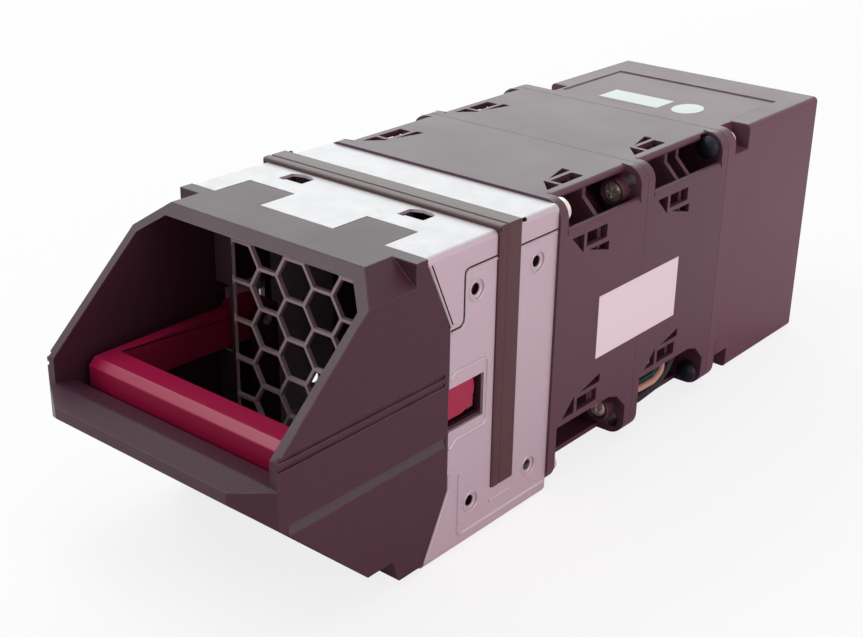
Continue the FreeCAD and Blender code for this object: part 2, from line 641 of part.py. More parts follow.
def motor(prefix, facing):
    """Everything between the motor base and the impeller hub of one fan."""
    def span(near, far):
        return away(SEAM, facing, near, far)

    turned(f"{prefix}_bearing_tube", ring_outline("bearing_radius", TUBE_OUTER, span(BASE_TOP, TUBE_END)))
    turned(f"{prefix}_circuit_board",
           ring_outline(f"{TUBE_OUTER} + 0.1", "board_radius", span(BASE_TOP, f"{BASE_TOP} + board_depth")))
    turned(f"{prefix}_shaft", ring_outline("0", "shaft_radius", span(f"{CLIP_END} - 2 * clip_wall", CUP_END)))
    turned(f"{prefix}_shaft_clip",
           ring_outline("shaft_radius", "shaft_radius * 1.6", span(f"{CLIP_END} - clip_wall", CLIP_END)))
    turned(f"{prefix}_magnet_ring", ring_outline(MAGNET_INNER, CUP_INNER, span("core_start", CORE_END)))

    near = ring_outline("shaft_radius + shaft_fit", "bearing_radius",
                        span("bearing_near", "bearing_near + bearing_width"))
    far = ring_outline("shaft_radius + shaft_fit", "bearing_radius",
                       span(f"{TUBE_END} - bearing_width", TUBE_END))
    bearings = new_body(f"{prefix}_ball_bearings")
    bearings.AllowCompound = True
    turn(bearings, near)
    turn(bearings, far)
    set_down(bearings, f"{prefix}_ball_bearings")

    core = new_body(f"{prefix}_stator_core")
    turn(core, ring_outline(TUBE_OUTER, f"{TUBE_OUTER} + pole_width / 2", span("core_start", CORE_END)))
    start, end = span("core_start", CORE_END)
    pole = box_outline("-pole_width / 2", "pole_width / 2", start, end)
    pad(core, "z", [pole], f"{TUBE_OUTER} + pole_width / 4", "core_radius")
    repeat_round(core, core.Tip, "pole_count")
    set_down(core, f"{prefix}_stator_core")

    coils = new_body(f"{prefix}_coils")
    coils.AllowCompound = True
    start, end = span("core_start - coil_wall", f"{CORE_END} + coil_wall")
    winding = box_outline("-pole_width / 2 - coil_wall", "pole_width / 2 + coil_wall", start, end)
    pad(coils, "z", [winding, pole], f"{TUBE_OUTER} + 2 * coil_wall", "core_radius - coil_wall / 2")
    repeat_round(coils, coils.Tip, "pole_count")
    set_down(coils, f"{prefix}_coils")

    rim, face = "cup_start", CUP_END
    steps = [(CUP_INNER, rim), (CUP_OUTER, rim), (CUP_OUTER, face), ("shaft_radius", face),
             ("shaft_radius", f"{face} - cup_wall"), (CUP_INNER, f"{face} - cup_wall")]
    side = "+" if facing > 0 else "-"
    turned(f"{prefix}_rotor_cup", [(radius, f"{SEAM} {side} ({station})") for radius, station in steps])


def blade(facing, hand):
    """One cambered blade, set at an angle to the axis and trimmed to the hub and the duct."""
    seam = value(SEAM)
    hub, tip = value(HUB_OUTER), value(TIP_RADIUS)
    half = value("blade_length") / 2
    middle = seam + facing * (value("blade_start") + half)
    lean = half * math.tan(math.radians(value("blade_angle"))) * hand
    bulge = Vector(half, -lean, 0).normalize()
    thick = bulge * value("blade_wall") / 2
    root = Vector(0, middle, value("root_height"))
    crest = root + bulge * value("blade_camber") * facing * hand
    front, back = root + Vector(lean, half, 0), root - Vector(lean, half, 0)
    upper = Part.Arc(front, crest + thick, back)
    lower = Part.Arc(back, crest - thick, front)
    face = Part.Face(Part.Wire([upper.toShape(), lower.toShape()]))
    shape = face.extrude(Vector(0, 0, 1.2 * tip - value("root_height")))
    low = Vector(0, middle - 2 * half, 0)
    shape = shape.common(Part.makeCylinder(tip, 4 * half, low, Vector(0, 1, 0)))
    return shape.cut(Part.makeCylinder(hub - value("hub_wall") / 2, 4 * half, low, Vector(0, 1, 0)))


def impeller(label, facing, hand, count):
    """Moulded hub with its ring of blades. The two impellers turn opposite ways."""
    seam = value(SEAM)
    hub, inner = value(HUB_OUTER), value(CUP_OUTER)
    edge = value("hub_edge")
    rim, face = seam + facing * value("hub_start"), seam + facing * value("hub_end")
    floor = seam + facing * value(CUP_END)
    turn_in = face - facing * edge
    bend = Vector(hub - edge * (1 - math.sqrt(0.5)), turn_in + facing * edge * math.sqrt(0.5), 0)
    outline = [Part.LineSegment(Vector(inner, rim, 0), Vector(hub, rim, 0)),
               Part.LineSegment(Vector(hub, rim, 0), Vector(hub, turn_in, 0)),
               Part.Arc(Vector(hub, turn_in, 0), bend, Vector(hub - edge, face, 0)),
               Part.LineSegment(Vector(hub - edge, face, 0), Vector(0, face, 0)),
               Part.LineSegment(Vector(0, face, 0), Vector(0, floor, 0)),
               Part.LineSegment(Vector(0, floor, 0), Vector(inner, floor, 0)),
               Part.LineSegment(Vector(inner, floor, 0), Vector(inner, rim, 0))]
    wire = Part.Wire([curve.toShape() for curve in outline])
    shape = Part.Face(wire).revolve(Vector(), Vector(0, 1, 0), 360)
    first = blade(facing, hand)
    blades = []
    for number in range(count):
        copy = first.copy()
        copy.rotate(Vector(), Vector(0, 1, 0), 360 * number / count)
        blades.append(copy)
    piece = doc.addObject("Part::Feature", label)
    piece.Shape = shape.fuse(blades).removeSplitter()
    return set_down(piece, label)


motor("fan_a", -1)
motor("fan_b", 1)
impeller("fan_a_impeller", -1, 1, int(value("blades_a")))
impeller("fan_b_impeller", 1, 1, int(value("blades_b")))


# ---- steel sleeve ---------------------------------------------------------------------------------

DROP_INNER = "(sleeve_drop - sheet)"
BEYOND = f"({SLEEVE_HALF} + 3)"


def bend_edges(body, height, radius):
    """Round the long bends of a sheet, outside and inside."""
    for half, level, size in ((SLEEVE_HALF, height, radius),
                              (INNER_HALF, f"{height} - sheet" if height[0] != "-" else f"{height} + sheet",
                               f"{radius} - sheet")):
        x, z = value(half), value(level)

        def on_bend(edge):
            middle = edge.CenterOfMass
            return along(edge, Vector(0, 1, 0)) and abs(abs(middle.x) - x) < 0.01 and abs(middle.z - z) < 0.01

        finish_edges(body, "Fillet", size, on_bend)


def screw_tabs(body, height, rise):
    """Two corner tabs across the sleeve's back end, with the holes of the fan screws."""
    start, end = "(sleeve_length - sheet)", "sleeve_length"
    near = f"({height} - {rise} * tab_size)"
    for side in (-1, 1):
        left = f"{side} * ({INNER_HALF} - tab_size)"
        outline = [(left, height), (f"{side} * {INNER_HALF}", height), (f"{side} * {INNER_HALF}", near),
                   (f"{side} * ({INNER_HALF} - tab_size / 2)", near), (left, f"({height} - {rise} * tab_size / 2)")]
        pad(body, "y", [outline], start, end)
    holes = [("circle", f"{side} * {SCREW_AT}", f"{rise} * {SCREW_AT}", "flange_hole") for side in (-1, 1)]
    pocket(body, "y", holes, start, end)


def sleeve_top():
    """Bent cover: flat top with two tab notches and two lances, front ears and narrow side flaps."""
    body = new_body("sleeve_top_cover")
    section = [(f"-{SLEEVE_HALF}", "ear_foot"), (f"-{SLEEVE_HALF}", SLEEVE_HALF), (SLEEVE_HALF, SLEEVE_HALF),
               (SLEEVE_HALF, "ear_foot"), (INNER_HALF, "ear_foot"), (INNER_HALF, INNER_HALF),
               (f"-{INNER_HALF}", INNER_HALF), (f"-{INNER_HALF}", "ear_foot")]
    pad(body, "y", [section], "0", "sleeve_length")
    bend_edges(body, SLEEVE_HALF, "bend")
    below = "(ear_foot - 1)"
    brow = f"({SLEEVE_HALF} - bend)"
    front = [("-1", below), ("side_front", below), ("side_front", "shoulder_top"), ("0", brow), ("-1", brow)]
    back = [("ear_back", below), ("sleeve_length + 1", below), ("sleeve_length + 1", "flap_foot"),
            ("ear_back", "flap_foot")]
    pocket(body, "x", [front], f"-{BEYOND}", BEYOND)
    pocket(body, "x", [back], f"-{BEYOND}", BEYOND)
    cuts = []
    for centre in ("-notch_left", "notch_right"):
        cuts.append(box_outline(f"{centre} - notch_width / 2", f"{centre} + notch_width / 2", "-1", "notch_depth"))
        cuts.append(box_outline(f"{centre} - lance_width / 2", f"{centre} + lance_width / 2",
                                "lance_front", "lance_front + lance_length"))
    pocket(body, "z", cuts, f"{INNER_HALF} - 1", f"{SLEEVE_HALF} + 1")
    screw_tabs(body, INNER_HALF, 1)
    return set_down(body, "sleeve_top_cover")


def sleeve_channel():
    """Bent lower channel: floor and sides, with slanted front edges, latch windows and four holes a side."""
    body = new_body("sleeve_lower_channel")
    top = "(flap_foot - sheet_gap)"
    section = [(f"-{SLEEVE_HALF}", top), (f"-{SLEEVE_HALF}", "-sleeve_drop"), (SLEEVE_HALF, "-sleeve_drop"),
               (SLEEVE_HALF, top), (INNER_HALF, top), (INNER_HALF, f"-{DROP_INNER}"),
               (f"-{INNER_HALF}", f"-{DROP_INNER}"), (f"-{INNER_HALF}", top)]
    pad(body, "y", [section], "0", "sleeve_length")
    bend_edges(body, "-sleeve_drop", "1.5 * bend")
    above = f"({top} + 1)"
    chin = "(1.5 * bend - sleeve_drop)"
    ear = "(ear_foot - sheet_gap)"
    front = [("-1", above), ("ear_back + sheet_gap", above), ("ear_back + sheet_gap", ear), ("side_front", ear),
             ("side_front", "window_top"), ("window_back", "window_top"), ("window_back", "-window_low"),
             ("side_front", "-window_low"), ("side_front", "-shoulder_low"), ("0", chin), ("-1", chin)]
    pocket(body, "x", [front], f"-{BEYOND}", BEYOND)
    holes = [("circle", station, level, "dimple_hole") for station in ("dimple_front", "dimple_back")
             for level in ("dimple_high", "-dimple_low")]
    pocket(body, "x", holes, f"-{BEYOND}", BEYOND)
    outer, small = value(SLEEVE_HALF), value("dimple_hole")

    def hole_rim(edge):
        if edge.Curve.TypeId != "Part::GeomCircle" or abs(edge.Curve.Radius - small) > 0.001:
            return False
        return abs(abs(edge.CenterOfMass.x) - outer) < 0.01

    finish_edges(body, "Chamfer", "dimple_edge", hole_rim)
    screw_tabs(body, f"-{DROP_INNER}", -1)
    return set_down(body, "sleeve_lower_channel")


sleeve_top()
sleeve_channel()

gasket = new_body("emi_gasket")
GASKET_HALF = f"({SLEEVE_HALF} + gasket_wall)"
pad(gasket, "y", [[(f"-{GASKET_HALF}", "-gasket_low"), (f"-{GASKET_HALF}", GASKET_HALF),
                   (GASKET_HALF, GASKET_HALF), (GASKET_HALF, "-gasket_low"), (SLEEVE_HALF, "-gasket_low"),
                   (SLEEVE_HALF, SLEEVE_HALF), (f"-{SLEEVE_HALF}", SLEEVE_HALF),
                   (f"-{SLEEVE_HALF}", "-gasket_low")]],
    "gasket_front", "gasket_front + gasket_width")
set_down(gasket, "emi_gasket")


# ---- front hood -------------------------------------------------------------------------------------

MOUTH = "(-(wall_reach + 20))"
POST_OUTER = f"({HANDLE_HALF} - arm_wall - post_fit)"
POST_INNER = f"({HANDLE_HALF} - arm_wall - post_fit - post_wall)"


def hood():
    """Moulded hood: slanted mouth, bevelled top corners, sloping belly, lip, foot and a collar in the sleeve."""
    profile = [("0", SLEEVE_HALF), ("-roof_reach", SLEEVE_HALF), ("-wall_reach", "rim_foot"),
               ("-wall_reach", "lip_crest"), ("-lip_reach", "-lip_edge"), ("-lip_reach", "-lip_edge - lip_face"),
               ("-wall_reach", "-belly_front"), ("-belly_back", "-belly_drop"), ("-foot_front", "-belly_drop"),
               ("foot_slope - foot_front", "-foot_drop"), ("0", "-foot_drop")]
    side_view = prism("hood_side_view", "x", [profile], f"-{SLEEVE_HALF}", SLEEVE_HALF)
    bevel_x, bevel_z = f"({SLEEVE_HALF} - bevel_across)", f"({SLEEVE_HALF} - bevel_down)"
    front_view = prism("hood_front_view", "y",
                       [[(f"-{SLEEVE_HALF}", "-sleeve_drop"), (SLEEVE_HALF, "-sleeve_drop"),
                         (SLEEVE_HALF, bevel_z), (bevel_x, SLEEVE_HALF), (f"-{bevel_x}", SLEEVE_HALF),
                         (f"-{SLEEVE_HALF}", bevel_z)]], MOUTH, "-bevel_end")
    collar_view = block("hood_rear_view", f"-{SLEEVE_HALF}", SLEEVE_HALF, "-bevel_end", "0",
                        "-sleeve_drop", SLEEVE_HALF)
    plan = prism("hood_plan", "z",
                 [[(f"-{SLEEVE_HALF}", "0"), (f"-{SLEEVE_HALF}", "-wall_reach"), ("-lip_half", "-lip_reach"),
                   ("lip_half", "-lip_reach"), (SLEEVE_HALF, "-wall_reach"), (SLEEVE_HALF, "0")]],
                 "-sleeve_drop", SLEEVE_HALF)
    shell = common("hood_shell", common("hood_profile", side_view, fuse("hood_views", [front_view, collar_view])),
                   plan)

    rim = f"({INNER_HALF} - hood_fit)"
    cut_in = f"({INNER_HALF} - hood_fit - 1.5 * bend)"
    floor = f"(hood_fit - {DROP_INNER})"
    collar = prism("hood_collar", "y",
                   [[(f"-{rim}", f"{floor} + 1.5 * bend"), (f"-{cut_in}", floor), (cut_in, floor),
                     (rim, f"{floor} + 1.5 * bend"), (rim, cut_in), (cut_in, rim), (f"-{cut_in}", rim),
                     (f"-{rim}", cut_in)]], "-bevel_end / 2", "collar_depth")
    edge = "(side_front - hood_fit)"
    cheek_outline = [("-1", f"{SLEEVE_HALF} - bend - hood_fit"), ("0", f"{SLEEVE_HALF} - bend - hood_fit"),
                     (edge, "shoulder_top - hood_fit"), (edge, "hood_fit - shoulder_low"),
                     ("0", "hood_fit + 1.5 * bend - sleeve_drop"), ("-1", "-foot_drop")]
    cheeks = [prism(f"hood_cheek_{name}", "x", [cheek_outline], start, end)
              for name, start, end in (("left", f"-{SLEEVE_HALF}", f"-{rim} + 0.1"),
                                       ("right", f"{rim} - 0.1", SLEEVE_HALF))]
    tabs = [block(f"hood_tab_{name}", f"{centre} - notch_width / 2 + hood_fit",
                  f"{centre} + notch_width / 2 - hood_fit", "-1", "notch_depth - hood_fit",
                  f"{rim} - 0.1", SLEEVE_HALF)
            for name, centre in (("left", "-notch_left"), ("right", "notch_right"))]
    outside = fuse("hood_outside", [shell, collar] + cheeks + tabs)

    slope = "((belly_drop - belly_front) / (wall_reach - belly_back))"
    land_end = "(crest_wall + lip_land - wall_reach)"
    hollow = [("collar_depth + 1", HOOD_INNER), (MOUTH, HOOD_INNER), (MOUTH, "lip_crest"),
              ("crest_wall - wall_reach", "lip_crest"), (land_end, "-lip_edge - land_drop"),
              (land_end, f"-belly_front - crest_wall - {slope} * (wall_reach + {land_end}) + lip_wall"),
              ("-belly_back", "hood_wall - belly_drop"), ("grille_front - 1", "hood_wall - belly_drop"),
              ("grille_front - 1", "-collar_floor"), ("collar_depth + 1", "-collar_floor")]
    side_hollow = prism("hood_hollow", "x", [hollow], f"-{HOOD_INNER}", HOOD_INNER)
    roof_hollow = prism("hood_hollow_front", "y",
                        [[(f"-{HOOD_INNER}", "-sleeve_drop"), (HOOD_INNER, "-sleeve_drop"),
                          (HOOD_INNER, f"{bevel_z} - roof_thinning"), (f"{bevel_x} - roof_thinning", HOOD_INNER),
                          (f"roof_thinning - {bevel_x}", HOOD_INNER), (f"-{HOOD_INNER}", f"{bevel_z} - roof_thinning")]],
                        MOUTH, "collar_depth + 1")
    hollowed = cut("hood_hollowed", outside, common("hood_room", side_hollow, roof_hollow))

    posts = [block(f"pivot_post_{name}", left, right, f"{PIVOT_Y} - post_half", f"{PIVOT_Y} + post_half",
                   "-collar_floor - weld", f"{PIVOT_Z} + post_half")
             for name, left, right in (("left", f"-{POST_OUTER}", f"-{POST_INNER}"),
                                       ("right", POST_INNER, POST_OUTER))]
    lug_front = "(bar_depth / 2 - bar_front)"
    lugs = [block(f"stop_lug_{name}", left, right, lug_front, f"{lug_front} + stop_length",
                  "-arm_low - stop_fit - stop_height", "-arm_low - stop_fit")
            for name, left, right in (("left", f"-{HOOD_INNER} - weld", f"arm_wall / 4 - {HANDLE_HALF}"),
                                      ("right", f"{HANDLE_HALF} - arm_wall / 4", f"{HOOD_INNER} + weld"))]
    solid = fuse("hood_solid", [hollowed] + posts + lugs)

    room = "(boss_radius + pad_room)"
    low, high = f"{PIVOT_Z} - {room}", f"{PIVOT_Z} + boss_radius + pad_swing"
    skin = f"({HANDLE_HALF} + boss_reach + pad_fit)"
    windows = [block("latch_room", f"-{BEYOND}", BEYOND, "side_front", f"{PIVOT_Y} + {room}", low, high),
               block("latch_recess", f"-{skin}", skin, f"{PIVOT_Y} - pad_front - 1.5 * pad_room",
                     f"{PIVOT_Y}", low, high)]
    keep = block("latch_room_middle", f"-{POST_OUTER}", POST_OUTER, "0", f"{PIVOT_Y} + 20",
                 "-sleeve_drop", SLEEVE_HALF)
    tools = [cut("latch_windows", fuse("latch_rooms", windows), keep),
             rod("pin_hole", ALONG_X, "pin_radius", f"-{HANDLE_HALF}", HANDLE_HALF, PIVOT_Y, PIVOT_Z)]
    for name, start, end in (("left", f"-{SLEEVE_HALF} - 1", f"-{SLEEVE_HALF} + groove_depth"),
                             ("right", f"{SLEEVE_HALF} - groove_depth", f"{SLEEVE_HALF} + 1")):
        for number, level in enumerate(("groove_high", "groove_low"), start=1):
            tools.append(block(f"side_groove_{name}_{number}", start, end, "-wall_reach - 1", "side_front - 1.5",
                               f"{level} - groove_width", level))
        tools.append(block(f"ledge_band_{name}", start, end, "3 - wall_reach", "side_front - 1",
                           "-ledge_top - ledge_width", "-ledge_top"))
    return set_down(cut("front_hood", solid, fuse("hood_tools", tools)), "front_hood")


hood()


# ---- honeycomb grille -------------------------------------------------------------------------------

def grille():
    """Plate with a field of hexagonal holes, solid borders, bevelled corners and slots for the handle arms."""
    front, wall = value("grille_front"), value("grille_wall")
    half = value(f"{HOOD_INNER} - grille_fit")
    top = half
    low = -value("collar_floor") + value("grille_fit")
    corner, lean = value(f"{SLEEVE_HALF} - bevel_across"), value("roof_thinning")
    bevel_z = value(f"{SLEEVE_HALF} - bevel_down")

    def plate(points):
        corners = [Vector(x, front, z) for x, z in points]
        return Part.Face(Part.makePolygon(corners + corners[:1])).extrude(Vector(0, wall, 0))

    fit = value("grille_fit")
    cut_x, cut_z = corner - lean - fit, bevel_z - lean - fit
    sheet_plate = plate([(-half, low), (half, low), (half, cut_z), (cut_x, top), (-cut_x, top), (-half, cut_z)])
    in_x = half - value("grille_side")
    in_low, in_top = low + value("grille_rim"), top - value("grille_rim")
    bevel = value("grille_corner")
    opening = plate([(-in_x, in_low + bevel), (bevel - in_x, in_low), (in_x - bevel, in_low), (in_x, in_low + bevel),
                     (in_x, in_top - bevel), (in_x - bevel, in_top), (bevel - in_x, in_top),
                     (-in_x, in_top - bevel)])
    pitch, web = value("cell_pitch"), value("cell_web")
    column = pitch * math.sqrt(3) / 2
    reach = (pitch - web) / math.sqrt(3)
    cells = []
    columns = int(in_x / column) + 2
    rows = int(in_top / pitch) + 4
    for i in range(-columns, columns + 1):
        x = -value("cell_across") + i * column
        for k in range(-rows, rows + 1):
            z = value("cell_up") + (k + (i % 2) / 2) * pitch
            near_x = abs(x) < in_x + reach - 0.5 * web
            near_z = in_low - pitch / 2 + web < z < in_top + pitch / 2 - web
            if near_x and near_z:
                hexagon = [(x + reach * math.cos(math.radians(60 * n)), z + reach * math.sin(math.radians(60 * n)))
                           for n in range(6)]
                cells.append(plate(hexagon))
    holes = opening.common(Part.makeCompound(cells))
    slot_in, slot_out = value(f"{HANDLE_HALF} - arm_wall - post_fit"), half + 1
    slots = []
    for side in (-1, 1):
        slots.append(plate([(side * slot_in, -value("arm_slot_low")), (side * slot_out, -value("arm_slot_low")),
                            (side * slot_out, value("arm_slot_top")), (side * slot_in, value("arm_slot_top"))]))
    piece = doc.addObject("Part::Feature", "honeycomb_grille")
    piece.Shape = sheet_plate.cut(Part.makeCompound([holes] + slots))
    return set_down(piece, "honeycomb_grille")


grille()


# ---- handle ---------------------------------------------------------------------------------------

PIN_OUTER = f"({HANDLE_HALF} + boss_reach - pad_face)"


def handle():
    """U-shaped pull handle: bevelled grip bar, two arms, round rear ends with latch pads."""
    body = new_body("pull_handle")
    arm_inner = f"({HANDLE_HALF} - arm_wall)"
    bar = [("-bar_front", "-bar_low"), ("-bar_front", "bar_top - bar_bevel"),
           ("bar_bevel - bar_front", "bar_top"), ("bar_depth - bar_front", "bar_top"),
           ("bar_depth - bar_front", "-bar_low")]
    arm = [("bar_depth - bar_front - 2", "-bar_low"), ("bar_depth - bar_front + 2", "-arm_low"),
           (PIVOT_Y, f"{PIVOT_Z} - boss_radius"), (PIVOT_Y, f"{PIVOT_Z} + boss_radius"),
           ("bar_depth - bar_front - 2", "bar_top")]
    pad(body, "x", [bar], f"-{HANDLE_HALF}", HANDLE_HALF)
    nose = box_outline(f"{PIVOT_Y} - pad_front", PIVOT_Y, f"{PIVOT_Z} - boss_radius", f"{PIVOT_Z} + boss_radius")
    for side in (-1, 1):
        ends = sorted((f"{side} * {arm_inner}", f"{side} * {HANDLE_HALF}"), key=value)
        pads = sorted((f"{side} * ({HANDLE_HALF} - 1)", f"{side} * ({HANDLE_HALF} + boss_reach)"), key=value)
        pad(body, "x", [arm], *ends)
        pad(body, "x", [("circle", PIVOT_Y, PIVOT_Z, "boss_radius")], *ends)
        pad(body, "x", [("circle", PIVOT_Y, PIVOT_Z, "boss_radius")], *pads)
        pad(body, "x", [nose], *pads)
    pocket(body, "x", [("circle", PIVOT_Y, PIVOT_Z, "pin_radius + pin_fit")], f"-{PIN_OUTER}", PIN_OUTER)
    return set_down(body, "pull_handle")


handle()
pins = [rod("pivot_pin_left", ALONG_X, "pin_radius", f"-{PIN_OUTER}", f"-{POST_INNER}", PIVOT_Y, PIVOT_Z),
        rod("pivot_pin_right", ALONG_X, "pin_radius", POST_INNER, PIN_OUTER, PIVOT_Y, PIVOT_Z)]
set_down(group("handle_pins", pins), "handle_pins")


# ---- rear housing and connector ---------------------------------------------------------------------

def rear_housing():
    """Moulded inlet housing: flange, square duct with an eight-sided throat, screw pockets and a sunk panel."""
    body = new_body("rear_housing")
    flange(body, FAN_B_BACK, HOUSING_FLANGE_BACK)
    pad(body, "y", [box_outline(f"-{HOUSING_HALF}", HOUSING_HALF, "-sleeve_drop", HOUSING_TOP)],
        HOUSING_FLANGE_BACK, MODULE_BACK)
    half = value(HOUSING_HALF)
    finish_edges(body, "Fillet", "housing_edge",
                 lambda e: along(e, Vector(0, 1, 0)) and abs(abs(e.CenterOfMass.x) - half) < 0.01)
    inner, roof = f"({HOUSING_HALF} - housing_wall)", f"({HOUSING_TOP} - housing_wall)"
    floor = "(housing_wall - sleeve_drop)"
    throat_end = f"({HOUSING_FLANGE_BACK} + pocket_length + housing_wall)"
    low, high, side = f"({floor} + throat_corner)", f"({roof} - throat_corner)", f"({inner} - throat_corner)"
    throat = [(f"-{inner}", low), (f"-{side}", floor), (side, floor), (inner, low),
              (inner, high), (side, roof), (f"-{side}", roof), (f"-{inner}", high)]
    pocket(body, "y", [throat], FAN_B_BACK, throat_end)
    pocket(body, "y", [box_outline(f"-{inner}", inner, floor, roof)], throat_end, MODULE_BACK)
    reach, far = f"({SCREW_AT} - screw_head - pocket_room)", f"({HOUSING_HALF} + 5)"
    for side in (-1, 1):
        left, right = sorted((f"{side} * {reach}", f"{side} * {far}"), key=value)
        for low, high, length in ((reach, f"{far} + 2", "pocket_length"), (f"-{far} - 2", f"-{reach}", "screw_room"),
                                  (f"-{far} - 2", "notch_rise - sleeve_drop", "pocket_length")):
            pocket(body, "y", [box_outline(left, right, low, high)], HOUSING_FLANGE_BACK,
                   f"({HOUSING_FLANGE_BACK} + {length})")
    pocket(body, "y", four(SCREW_AT, SCREW_AT, "flange_hole"), FAN_B_BACK, HOUSING_FLANGE_BACK)
    pocket(body, "y", [("circle", LEAD_X, LEAD_Z, "lead_radius + lead_fit")], FAN_B_BACK, throat_end)
    panel = box_outline("-panel_half", "panel_half", f"{HOUSING_FLANGE_BACK} + panel_front",
                        f"{HOUSING_FLANGE_BACK} + panel_front + panel_length")
    pocket(body, "z", [panel], f"{HOUSING_TOP} - panel_depth", f"{HOUSING_TOP} + 1")
    return set_down(body, "rear_housing")


rear_housing()

PLUG_X = "(-plug_offset)"
PLUG_FLOOR = "(housing_wall - sleeve_drop)"
PLUG_FRONT = f"({MODULE_BACK} - plug_depth)"


def contact_outlines(size):
    """Square contacts in one row, in XZ coordinates."""
    middle = f"({PLUG_FLOOR} + plug_height / 2)"
    outlines = []
    for number in range(int(value("contact_count"))):
        x = f"({PLUG_X} + ({number} - (contact_count - 1) / 2) * contact_pitch)"
        outlines.append(box_outline(f"{x} - {size} / 2", f"{x} + {size} / 2",
                                    f"{middle} - {size} / 2", f"{middle} + {size} / 2"))
    return outlines


def connector():
    """Blind-mate plug on the housing floor: open shell and one row of contacts."""
    body = new_body("connector_shell")
    left, right = f"{PLUG_X} - plug_width / 2", f"{PLUG_X} + plug_width / 2"
    pad(body, "y", [box_outline(left, right, PLUG_FLOOR, f"{PLUG_FLOOR} + plug_height")], PLUG_FRONT, MODULE_BACK)
    finish_edges(body, "Fillet", "plug_wall * 0.8",
                 lambda e: along(e, Vector(0, 1, 0)) and e.CenterOfMass.z > value(PLUG_FLOOR) + 1)
    floor = f"({PLUG_FRONT} + 2 * plug_wall)"
    pocket(body, "y", [box_outline(f"{left} + plug_wall", f"{right} - plug_wall", f"{PLUG_FLOOR} + plug_wall",
                                   f"{PLUG_FLOOR} + plug_height - plug_wall")], floor, MODULE_BACK)
    pocket(body, "y", contact_outlines("contact_size"), PLUG_FRONT, floor)
    set_down(body, "connector_shell")
    contacts = new_body("connector_contacts")
    contacts.AllowCompound = True
    pad(contacts, "y", contact_outlines("contact_size"), PLUG_FRONT, f"{floor} + contact_reach")
    set_down(contacts, "connector_contacts")


connector()


# ---- screws, rubber plugs, leads and label -----------------------------------------------------------

def screw_set(label, face, facing, radius, place):
    """Four pan head screws, one in each corner. The head stands on a face, the shank goes the other way."""
    screws = []
    for i, k in ((-1, -1), (1, -1), (1, 1), (-1, 1)):
        at = (f"{i} * {place}", f"{k} * {place}")
        head = away(face, facing, "0", "screw_head_depth")
        shank = away(face, -facing, "-screw_head_depth / 2", "screw_length")
        name = f"{label}_{len(screws) + 1}"
        screws.append(fuse(name, [rod(name + "_head", ALONG_Y, radius, *head, *at),
                                  rod(name + "_shank", ALONG_Y, "screw_radius", *shank, *at)]))
    return set_down(group(label, screws), label)


screw_set("sleeve_screws", "(sleeve_length + flange_depth)", 1, "sleeve_head", SCREW_AT)
screw_set("fan_joining_screws", f"({SEAM} - flange_depth)", -1, "screw_head", JOIN_AT)
screw_set("housing_screws", HOUSING_FLANGE_BACK, 1, "screw_head", SCREW_AT)

plugs = []
for i, k in ((-1, -1), (1, -1), (1, 1), (-1, 1)):
    place = (f"{i} * {SCREW_AT}", f"{k} * {SCREW_AT}")
    face = f"({FAN_B_BACK} - flange_depth)"
    stem = rod(f"rubber_plug_{len(plugs) + 1}", ALONG_Y, "rubber_head", f"{face} - rubber_depth", face, *place)
    plugs.append(stem)
set_down(group("rubber_plugs", plugs), "rubber_plugs")


def lead_path(points, reach):
    """Straight runs joined by tangent arcs. Each arc starts and ends this far from its corner."""
    edges, start = [], points[0]
    length = 0.0
    for before, here, after in zip(points, points[1:], points[2:]):
        into, out = (here - before), (after - here)
        into.normalize()
        out.normalize()
        turn_angle = math.acos(max(-1.0, min(1.0, into.dot(out))))
        radius = reach / math.tan(turn_angle / 2)
        print(f"lead arc radius {radius:.1f} mm")
        first, last = here - into * reach, here + out * reach
        inward = (out - into).normalize()
        centre = here + inward * math.hypot(radius, reach)
        edges.append(Part.LineSegment(start, first).toShape())
        edges.append(Part.Arc(first, centre - inward * radius, last).toShape())
        length += (first - start).Length + radius * turn_angle
        start = last
    edges.append(Part.LineSegment(start, points[-1]).toShape())
    return Part.Wire(edges), length + (points[-1] - start).Length


def motor_leads():
    """Lead bundle of both motors: along the lower right corner, through the flanges, across to the connector."""
    start = Vector(value(LEAD_X), value(f"{SEAM} - flange_depth - lead_straight"), value(LEAD_Z))
    end = Vector(value(PLUG_X), value(PLUG_FRONT), value(f"{PLUG_FLOOR} + plug_height / 2"))
    bend = value(f"{HOUSING_FLANGE_BACK} + pocket_length + housing_wall + lead_straight")
    landing = end.y - value("lead_landing")
    points = [start, Vector(start.x, bend, start.z), Vector(end.x, landing, end.z), end]
    path, length = lead_path(points, value("lead_straight"))
    radius = value("lead_radius")
    profile = Part.Wire(Part.makeCircle(radius, points[0], Vector(0, 1, 0)))
    tube = path.makePipeShell([profile], True, False)
    print(f"lead length {length:.1f} mm, volume {tube.Volume:.1f} of {math.pi * radius ** 2 * length:.1f} mm3")
    piece = doc.addObject("Part::Feature", "motor_leads")
    piece.Shape = tube
    return set_down(piece, "motor_leads")


motor_leads()

label_box = block("label_paper", FAN_HALF, f"{FAN_HALF} + label_wall", "side_label_front",
                  "side_label_front + side_label_length", "-side_label_low", "side_label_height - side_label_low")
set_down(group("label_sheet", [label_box]), "side_label")


# ---- checks and export --------------------------------------------------------------------------------

doc.recompute()
for thing in doc.Objects:
    if "Invalid" in thing.State or "Error" in thing.State:
        raise RuntimeError(f"{thing.Label} failed: {thing.State}")
for piece in finished:
    if piece.Shape.isNull() or not piece.Shape.isValid() or not piece.Shape.Solids:
        raise RuntimeError(f"{piece.Label} has no valid solid")

